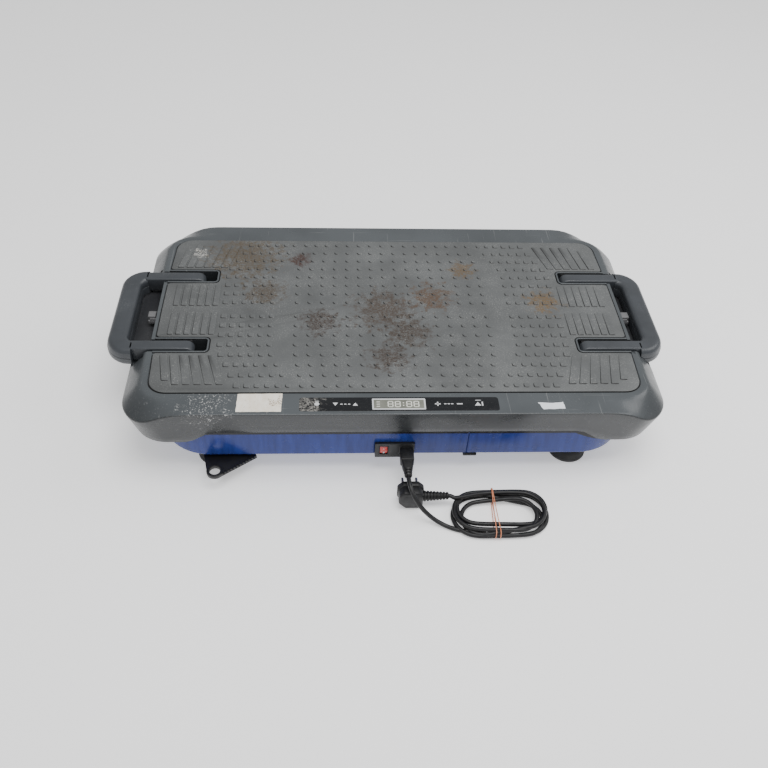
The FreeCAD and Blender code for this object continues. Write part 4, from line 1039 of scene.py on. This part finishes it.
def end_wall_trim(side):
    """The dark faces of the end notch behind a handle: a ribbed liner, and a ledge under the grip."""
    sx = SIDES[side]

    def lining(name, reach, half, middle, top):
        x = sorted((sx * (NOTCH_START - 0.2), sx * (NOTCH_START + reach)))
        return block(name, x, (middle - half, middle + half), (NOTCH_FLOOR - 0.2, top))

    ribs = [bevelled(lining("rib", 1.6, 1.2, -54 + 18 * k, 126), 0.4) for k in range(7)]
    plate = lining("plate", 0.6, NOTCH_HALF - 1, 0, 127)
    ledge = bevelled(block("ledge", sorted((sx * NOTCH_START, sx * (DECK_HALF_X + LEDGE_REACH))),
                           (-LEDGE_HALF, LEDGE_HALF), (NOTCH_FLOOR - 2.0, NOTCH_FLOOR + 0.4)), 0.5)
    show(joined(f"{side}_notch_liner", [plate, ledge, *ribs]), "deck", "black_plastic", skin=WELL_DARK)


BRACKET_GREY = moulded("bracket_grey", (0.16, 0.16, 0.165), 0.45, dust=0.3)
for side in SIDES:
    handle(side)
    end_bracket(side)
    end_wall_trim(side)

# ---------------------------------------------------------------- base shell

BASE_LOW, BASE_TOP, BASE_END_TOP = 32.0, 102.0, 80.0
BASE_HALF_X, BASE_HALF_Y, BASE_CORNER, BASE_WALL = 325.0, 195.0, 70.0, 3.0
BASE_DRAFT = math.tan(math.radians(2))
CUT_START, CUT_END = 245.0, 290.0
EDGE_ROUND = 5.0
PANEL_LOW_X, PANEL_HIGH_X, PANEL_TOP = -30.0, 24.0, 59.0
SEAM_X = 97.0
FOOT_X, FOOT_Y = 251.0, 158.0
FEET = {f"{end}_{side}": (sx * FOOT_X, sy * FOOT_Y)
        for end, sy in (("front", -1), ("rear", 1)) for side, sx in SIDES.items()}


def base_ring(levels, inset):
    """The base's drafted outline, with one level for each point or the same for all."""
    count = 4 * 15 + 2 * (40 + 16 - 2)
    levels = levels if isinstance(levels, list) else [levels] * count
    ring = []
    for i, z in enumerate(levels):
        grow = (z - BASE_LOW) * BASE_DRAFT - inset
        x, y = rounded_rect(BASE_HALF_X + grow, BASE_HALF_Y + grow, BASE_CORNER - inset, 14, 40, 16)[i]
        ring.append((x, y, z))
    return ring


def base_shell():
    """An open tray with a rounded lower edge, its ends lower than its middle."""
    middle = base_ring(BASE_LOW + 30, 0)
    top = [BASE_TOP + (BASE_END_TOP - BASE_TOP) * smooth((abs(x) - CUT_START) / (CUT_END - CUT_START))
           for x, y, z in middle]
    outside = [base_ring(BASE_LOW + EDGE_ROUND * (1 - math.sin(math.radians(a))),
                         EDGE_ROUND * (1 - math.cos(math.radians(a)))) for a in (90, 65, 40, 18, 0)]

    def wall_ring(share, inset):
        start = BASE_LOW + EDGE_ROUND
        return base_ring([start + (z - start) * share for z in top], inset)

    sides = [wall_ring(t, 0) for t in (0.33, 0.66, 1.0)]
    inside = [wall_ring(t, BASE_WALL) for t in (1.0, 0.5, 0.0)]
    floor = [base_ring(BASE_LOW + BASE_WALL, BASE_WALL + 2)]
    shell = new_object("base_tray", *loft(outside + sides + inside + floor))
    opening = block("opening", (PANEL_LOW_X - 0.3, PANEL_HIGH_X + 0.3),
                    (-BASE_HALF_Y - 20, -BASE_HALF_Y + 20), (BASE_LOW - 5, PANEL_TOP + 0.3))
    combined(shell, opening, "DIFFERENCE")
    for x, y in FEET.values():
        combined(shell, turned("bore", [(3.5, 25), (3.5, 45)], (x, y, 0), steps=20), "DIFFERENCE")
    seam = block("seam", (SEAM_X - 0.8, SEAM_X + 0.8), (-BASE_HALF_Y - 10, -BASE_HALF_Y + 0.8),
                 (BASE_LOW + 3, BASE_TOP - 8))
    combined(shell, seam, "DIFFERENCE")
    return show(bevelled(shell, 0.5, 2, 50), "base", "base_blue", ["base_shell"], sharp=50)


def base_tab():
    """The small black catch that shows under the base's front edge below the seam."""
    tab = block("seam_tab", (SEAM_X - 4, SEAM_X + 15), (-BASE_HALF_Y - 0.5, -BASE_HALF_Y + 14),
                (BASE_LOW - 3, BASE_LOW + 1))
    show(bevelled(tab, 1.0), "base", "black_plastic")


base_shell()
base_tab()

# ---------------------------------------------------------------- feet and band lugs


def foot(name, x, y):
    """A cup-shaped rubber foot with a grooved rim and a neck up to the base."""
    profile = [(3.5, 9), (8, 9), (8, 3), (21.5, 3), (23.6, 0.4), (24.4, 0), (25.6, 0), (26.5, 1), (26.5, 5.2),
               (25.9, 6.0), (25.6, 6.6), (25.9, 7.2), (25.2, 9), (23.4, 13.2), (19.5, 17.6), (15.2, 19.6),
               (11.6, 20.2), (11, 20.8), (11, 32), (3.5, 32)]
    rings = [[(x + r * math.cos(t), y + r * math.sin(t), z)
              for t in (2 * math.pi * k / 56 for k in range(56))] for r, z in profile]
    verts, faces = loft(rings, False, False)
    last = (len(rings) - 1) * 56
    faces += [(last + k, last + (k + 1) % 56, (k + 1) % 56, k) for k in range(56)]
    show(new_object(f"rubber_foot_{name}", verts, faces), "base", "foot_rubber", [f"foot_{name}"], sharp=45)


LUG_LOW, LUG_HIGH, EYE_RADIUS = 22.5, 27.5, 7.4


def band_lug(side):
    """A flat lug round a foot's neck, with a rimmed eye and a ribbed straight edge."""
    sx = SIDES[side]
    foot_x, foot_y = sx * FOOT_X, -FOOT_Y
    u_way, v_way = ((0, -1), (1, 0)) if side == "left" else ((-1, 0), (0, 1))

    def spot(u, v):
        return (foot_x + u_way[0] * u + v_way[0] * v, foot_y + u_way[1] * u + v_way[1] * v)

    low, high = LUG_LOW, LUG_HIGH
    eye = spot(59, 4)

    def disc(name, radius, centre, over=0.0):
        return turned(name, [(radius, low - over), (radius, high + over)], (*centre, 0))

    web = [spot(0, -20), spot(59, -7.2), spot(67, 12), spot(33, 59), spot(-2, 35.4), spot(-18, 0)]
    if polygon_turn(web) < 0:
        web = web[::-1]
    plate = prism("lug", web, low, high)
    combined(plate, disc("hub", 20, (foot_x, foot_y)), "UNION")
    combined(plate, disc("rim", EYE_RADIUS + 4, eye), "UNION")
    combined(plate, disc("neck", 11.3, (foot_x, foot_y), 2), "DIFFERENCE")
    combined(plate, disc("eye", EYE_RADIUS, eye, 2), "DIFFERENCE")
    parts = [bevelled(plate, 0.9, 2)]
    a, b = Vector(spot(66, 14)), Vector(spot(34, 57.5))
    along = (b - a).normalized()
    across = Vector((-along.y, along.x))
    for k in range(11):
        middle = a + (b - a) * (k + 0.6) / 11.4
        outline = [middle + along * i * 0.9 + across * j * 3.2
                   for i, j in ((-1, -1), (1, -1), (1, 1), (-1, 1))]
        outline = [(p.x, p.y) for p in outline]
        outline = outline if polygon_turn(outline) > 0 else outline[::-1]
        parts.append(bevelled(prism("rib", outline, high - 0.4, high + 0.8), 0.3))
    ring = [(7.5, high - 0.5), (7.9, high + 0.6), (9.2, high + 0.9), (10.4, high + 0.6), (10.8, high - 0.5)]
    parts.append(turned("collar", ring, (*eye, 0)))
    combined(parts[-1], disc("eye", EYE_RADIUS, eye, 2), "DIFFERENCE")
    show(joined(f"swing_lug_{side}", parts), f"lug_{side}", "black_plastic", [f"band_lug_{side}"])


for name, (x, y) in FEET.items():
    foot(name, x, y)
for side in SIDES:
    band_lug(side)

# ---------------------------------------------------------------- power panel

PANEL_FRONT, PANEL_BACK, PANEL_LEVEL, INLET_X, SWITCH_X = -199.5, -190.0, 46.0, 13.0, -18.0


def power_panel():
    """The black panel with its inlet socket and rocker switch, set into the base's front."""
    middle = (PANEL_LOW_X + PANEL_HIGH_X) / 2
    half = (PANEL_HIGH_X - PANEL_LOW_X) / 2
    outline = rounded_rect(half, (PANEL_TOP - BASE_LOW) / 2, 1.5, 4, x=middle, y=(PANEL_TOP + BASE_LOW) / 2)
    panel = prism("panel", outline, PANEL_FRONT, PANEL_BACK, "xz")
    for x, half_x, half_z in ((INLET_X, 10.6, 9.6), (SWITCH_X, 6.9, 8.9)):
        combined(panel, block("hole", (x - half_x, x + half_x), (PANEL_FRONT - 2, PANEL_BACK + 2),
                              (PANEL_LEVEL - half_z, PANEL_LEVEL + half_z)), "DIFFERENCE")
    show(bevelled(panel, 0.6, 2), "base", "black_plastic", ["power_panel"])

    ring = prism("ring", rounded_rect(10.5, 9.5, 2.5, 5, x=INLET_X, y=PANEL_LEVEL),
                 PANEL_FRONT - 0.4, PANEL_FRONT + 21, "xz")
    hollow = prism("hollow", rounded_rect(8.5, 7.5, 1.5, 5, x=INLET_X, y=PANEL_LEVEL),
                   PANEL_FRONT - 2, PANEL_FRONT + 18, "xz")
    show(bevelled(combined(ring, hollow, "DIFFERENCE"), 0.5), "base", "black_plastic", ["inlet_socket"])

    bezel = prism("bezel", rounded_rect(6.8, 8.8, 1.0, 4, x=SWITCH_X, y=PANEL_LEVEL),
                  PANEL_FRONT - 0.3, PANEL_FRONT + 18, "xz")
    well = block("well", (SWITCH_X - 5.6, SWITCH_X + 5.6), (PANEL_FRONT - 2, PANEL_FRONT + 16),
                 (PANEL_LEVEL - 7.6, PANEL_LEVEL + 7.6))
    show(bevelled(combined(bezel, well, "DIFFERENCE"), 0.35), "base", "black_plastic", ["switch_housing"])


def rocker_switch():
    """The red rocker: two curved halves about its pin, with an on and an off mark."""
    front = PANEL_FRONT
    face = [(front + 0.9 - 1.6 * math.sin(math.pi * k / 8) ** 2, PANEL_LEVEL + 6.6 - 13.2 * k / 8)
            for k in range(9)]
    outline = [(front + 9, PANEL_LEVEL + 4.8), *face, (front + 9, PANEL_LEVEL - 4.8)]
    rocker = bevelled(prism("rocker", outline, SWITCH_X - 5.1, SWITCH_X + 5.1, "yz"), 0.5, 2)
    axle = turned("axle", [(1, SWITCH_X - 6.6), (1, SWITCH_X + 6.6)], (0, front + 6, PANEL_LEVEL), "x", 20)
    show(joined("rocker_red", [rocker, axle]), "rocker", "switch_red", ["rocker_switch"])
    bar = block("on_mark", (SWITCH_X - 0.4, SWITCH_X + 0.4), (front - 0.75, front + 0.6),
                (PANEL_LEVEL + 2.2, PANEL_LEVEL + 4.8))
    off = SWITCH_X, 0, PANEL_LEVEL - 3.6
    ring = turned("off_mark", [(1.3, front - 0.8), (1.3, front + 0.5)], off, "y", 24)
    core = turned("core", [(0.8, front - 2), (0.8, front + 2)], off, "y", 24)
    show(joined("rocker_marks", [bar, combined(ring, core, "DIFFERENCE")]), "rocker", "switch_red",
         skin=PRINT_WHITE)


power_panel()
rocker_switch()

# ---------------------------------------------------------------- plug, connector and lead

PLUG_X, PLUG_FRONT, PLUG_BACK, PLUG_TOP = 17.0, -266.0, -244.0, 35.0
RELIEF_Y, RELIEF_Z, RELIEF_END = -256.0, 17.0, 69.0
CONNECTOR_END = -247.0
CORD_RADIUS = 3.1


def ribbed_relief(start, end, large, small, ribs):
    """A tapered strain relief's profile as (radius, place) points with grooves between ribs."""
    profile = []
    for k in range(ribs):
        a, b = k / ribs, (k + 1) / ribs
        r0, r1 = (large + (small - large) * t for t in (a, b))
        p0, p1 = (start + (end - start) * t for t in (a, b))
        step = p1 - p0
        profile += [(r0 - 1.3, p0), (r0 - 0.25, p0 + step * 0.12), (r0, p0 + step * 0.25),
                    (r1, p0 + step * 0.62), (r1 - 0.25, p0 + step * 0.74), (r1 - 1.3, p0 + step * 0.84)]
    return profile + [(CORD_RADIUS + 0.5, end - 0.4), (CORD_RADIUS, end)]


def mains_plug():
    """A right-angle plug on its rim: a bevelled body with a hand rim, and a ribbed relief."""
    def body_outline(scale):
        raw = [(-8.1, 0), (13.5, 0), (18, 7), (18, 27.3), (10.8, 35), (-10.8, 35), (-18, 27.3), (-18, 11.2)]
        return [(PLUG_X + x * scale, 17.5 + (z - 17.5) * scale) for x, z in raw]

    parts = [bevelled(prism("body", body_outline(1.0), PLUG_BACK - 9, PLUG_BACK, "xz"), 2.2, 4),
             bevelled(prism("back", body_outline(0.92), PLUG_FRONT, PLUG_BACK - 6, "xz"), 3.2, 4),
             bevelled(prism("face", body_outline(0.62), PLUG_FRONT - 0.1, PLUG_FRONT + 3, "xz"), 1.0, 2)]
    relief = ribbed_relief(PLUG_X + 13, RELIEF_END, 8.0, 5.0, 9)
    parts.append(turned("relief", relief, (0, RELIEF_Y, RELIEF_Z), "x", 32))
    return show(joined("plug_body", parts), "base", "cord_black", ["mains_plug"])


PRONG_PROFILE = [(2.4, -1), (2.4, 9), (2.1, 9.3), (2.1, 17.6), (1.7, 18.6), (0.8, 19)]


def plug_prongs():
    """Two round prongs with insulated roots."""
    parts = []
    for sx in SIDES.values():
        parts.append(turned("prong", PRONG_PROFILE, (PLUG_X + sx * 9.5, PLUG_BACK, PLUG_TOP / 2), "y", 24))
    return show(joined("plug_pins", parts), "base", "steel", ["plug_prongs"])


def appliance_connector():
    """The connector in the inlet: a block, a faceted neck and ribs down to the cord."""
    nose = block("nose", (INLET_X - 8.1, INLET_X + 8.1), (PANEL_FRONT - 4, PANEL_FRONT + 7), (38.8, 53.2))
    body = block("body", (INLET_X - 9.3, INLET_X + 9.3), (-222, PANEL_FRONT - 0.3),
                 (PANEL_LEVEL - 7.25, PANEL_LEVEL + 7.25))
    parts = [bevelled(nose, 0.6), bevelled(body, 1.6, 3)]
    rings = []
    for y, half_x, half_z, corner in ((-220, 8.2, 6.6, 2.2), (-226, 7.6, 6.4, 2.6), (-232, 7.0, 6.2, 3.4),
                                      (-235, 6.4, 6.0, 4.5)):
        section = rounded_rect(half_x, half_z, corner, 5, x=INLET_X, y=PANEL_LEVEL)
        rings.append([(x, y, z) for x, z in section])
    parts.append(new_object("neck", *loft(rings)))
    relief = ribbed_relief(-234, CONNECTOR_END, 6.4, 5.0, 3)
    parts.append(turned("relief", relief, (INLET_X, 0, PANEL_LEVEL), "y", 32))
    return show(joined("connector_body", parts), "base", "cord_black", ["appliance_connector"])


# the lead from the connector down to the floor, as it is in the CAD route
LEAD_POINTS = [
    (13, -247, 46), (13.5, -258, 46.5), (16.5, -270, 42.5), (23.5, -279, 32), (34, -284, 19),
    (47, -289, 8), (63, -297, 3.6), (80, -304, 3.2), (97, -307, 4.5),
]
# the coil's end, up to the plug's strain relief
TAIL_POINTS = [(77, -259.5, 15.4), (73, -257, 16.6), (69, -256, 17)]
COIL_Y = -279.5
# each half turn of the coil: its end's reach in x, its middle in y, its radius and its height
COIL_TURNS = [
    ((201.5, COIL_Y + 1, 34, 4.6), (71.5, COIL_Y - 2, 33, 4.4)),
    ((194, COIL_Y - 7, 27, 5.0), (78, COIL_Y + 7, 26, 10.2)),
    ((199.5, COIL_Y + 7, 28, 10.4), (73.5, COIL_Y + 3, 31, 10.6)),
    ((186, COIL_Y - 4, 27, 11.2), (83, COIL_Y - 6, 28, 5.6)),
]
LAST_END = (197, COIL_Y + 2, 30, 12.6)
ARC_POINTS = 7


def coil_points():
    """Points of the loose oval turns, anticlockwise from the front."""
    points = []

    def half_turn(reach, y, radius, level, right):
        centre = reach - radius if right else reach + radius
        start = -90 if right else 90
        return [(px, py, level) for px, py in arc(centre, y, radius, start, start + 180, ARC_POINTS - 1)]

    for right_end, left_end in COIL_TURNS:
        points += half_turn(*right_end, True)
        points += half_turn(*left_end, False)
    points += half_turn(*LAST_END, True)
    return points


def with_middles(points, gap):
    """The same points with one more in the middle of each run that is longer than gap."""
    full = [points[0]]
    for a, b in zip(points, points[1:]):
        if math.dist(a, b) > gap:
            full.append(tuple((p + q) / 2 for p, q in zip(a, b)))
        full.append(b)
    return full


def round_curve(name, points, radius, rounds, closed=False):
    """A round cord drawn smoothly along control points."""
    curve = bpy.data.curves.new(name, "CURVE")
    curve.dimensions = "3D"
    line = curve.splines.new("NURBS")
    line.points.add(len(points) - 1)
    for control, point in zip(line.points, points):
        control.co = (*at(*point), 1)
    line.order_u = 3
    line.use_cyclic_u = closed
    line.use_endpoint_u = not closed
    curve.bevel_depth = radius * MM
    curve.bevel_resolution = rounds
    return linked(name, curve)


def mains_lead(pieces):
    """The whole lead as one curve: down from the connector, four loose turns, up to the plug."""
    run_in = [(118, -312.5, 4.5), (142, -314.5, 4.6)]
    run_out = [(120, -248.5, 13.0), (98, -253.5, 14.0)]
    points = LEAD_POINTS + run_in + with_middles(coil_points(), 50) + run_out + TAIL_POINTS
    item = round_curve("power_lead", points, CORD_RADIUS, 4)
    item.data.splines[0].resolution_u = 8
    item.data.use_fill_caps = True
    item.data.materials.append(SKINS["cord_black"])
    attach(item, "base")
    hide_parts("mains_lead", "cord_coil", "plug_tail")
    return item


TIE_X = 129.0
BAND_Y, BAND_Z = (-318.6, -240.4), (1.1, 17.0)
BAND_RADIUS, BAND_SAG = 0.62, 1.6


def band_strand(x, lean_x, bulge):
    """One strand of the rubber band: a closed loop round the whole coil."""
    (low_y, high_y), (low_z, high_z) = BAND_Y, BAND_Z
    middle_y, half_y = (low_y + high_y) / 2, (high_y - low_y) / 2
    middle_z, half_z = (low_z + high_z) / 2, (high_z - low_z) / 2
    outline = rounded_rect(half_y + bulge, half_z, 6.5, 6, 6, 2, x=middle_y, y=middle_z)
    points = []
    for y, z in outline:
        share = (y - middle_y) / half_y
        dip = BAND_SAG * (1 - share * share) if z > middle_z else 0.0
        points.append((x + lean_x * share, y, z - dip))
    curve = round_curve("strand", points, BAND_RADIUS, 2, closed=True)
    mesh = bpy.data.meshes.new_from_object(curve.evaluated_get(bpy.context.evaluated_depsgraph_get()))
    bpy.data.objects.remove(curve)
    return linked("strand", mesh)


def cord_tie():
    strands = [band_strand(TIE_X - 1.6, 1.6, 0.0), band_strand(TIE_X + 1.7, -1.2, 0.3)]
    return show(joined("rubber_band", strands), "base", "band_orange", ["cord_tie"], sharp=60)


mains_lead([mains_plug(), plug_prongs(), appliance_connector(), cord_tie()])

# ---------------------------------------------------------------- floor and light

FLOOR_GLOW = 0.5


def add_floor():
    mesh = bpy.data.meshes.new("floor")
    reach = 30.0
    mesh.from_pydata([(-reach, -reach, 0), (reach, -reach, 0), (reach, reach, 0), (-reach, reach, 0)], [],
                     [(0, 1, 2, 3)])
    floor = linked("floor", mesh)
    graph = Graph("floor_white", (0.86, 0.86, 0.865), 0.7)
    graph.colour(graph.mix(graph.noise(400, 2), (0.86, 0.86, 0.865), (0.90, 0.90, 0.905)))
    graph.set("Emission Color", (1, 1, 1, 1))
    graph.set("Emission Strength", FLOOR_GLOW)
    mesh.materials.append(graph.material)


def add_light(name, place, target, width, depth, power):
    data = bpy.data.lights.new(name, "AREA")
    data.shape = "RECTANGLE"
    data.size, data.size_y = width, depth
    data.energy = power
    light = linked(name, data)
    light.location = place
    light.rotation_euler = (Vector(target) - Vector(place)).to_track_quat("-Z", "Y").to_euler()


def add_world(strength):
    world = bpy.data.worlds.new("studio")
    bpy.context.scene.world = world
    world.use_nodes = True
    background = world.node_tree.nodes["Background"]
    background.inputs["Color"].default_value = (1.0, 1.0, 1.0, 1)
    background.inputs["Strength"].default_value = strength


add_floor()
add_world(0.5)
add_light("window_right", (1.7, 0.2, 1.6), (0, 0, 0.1), 1.2, 1.0, 14)
add_light("ceiling", (0.2, -0.45, 2.2), (0, 0, 0), 1.4, 1.2, 42)
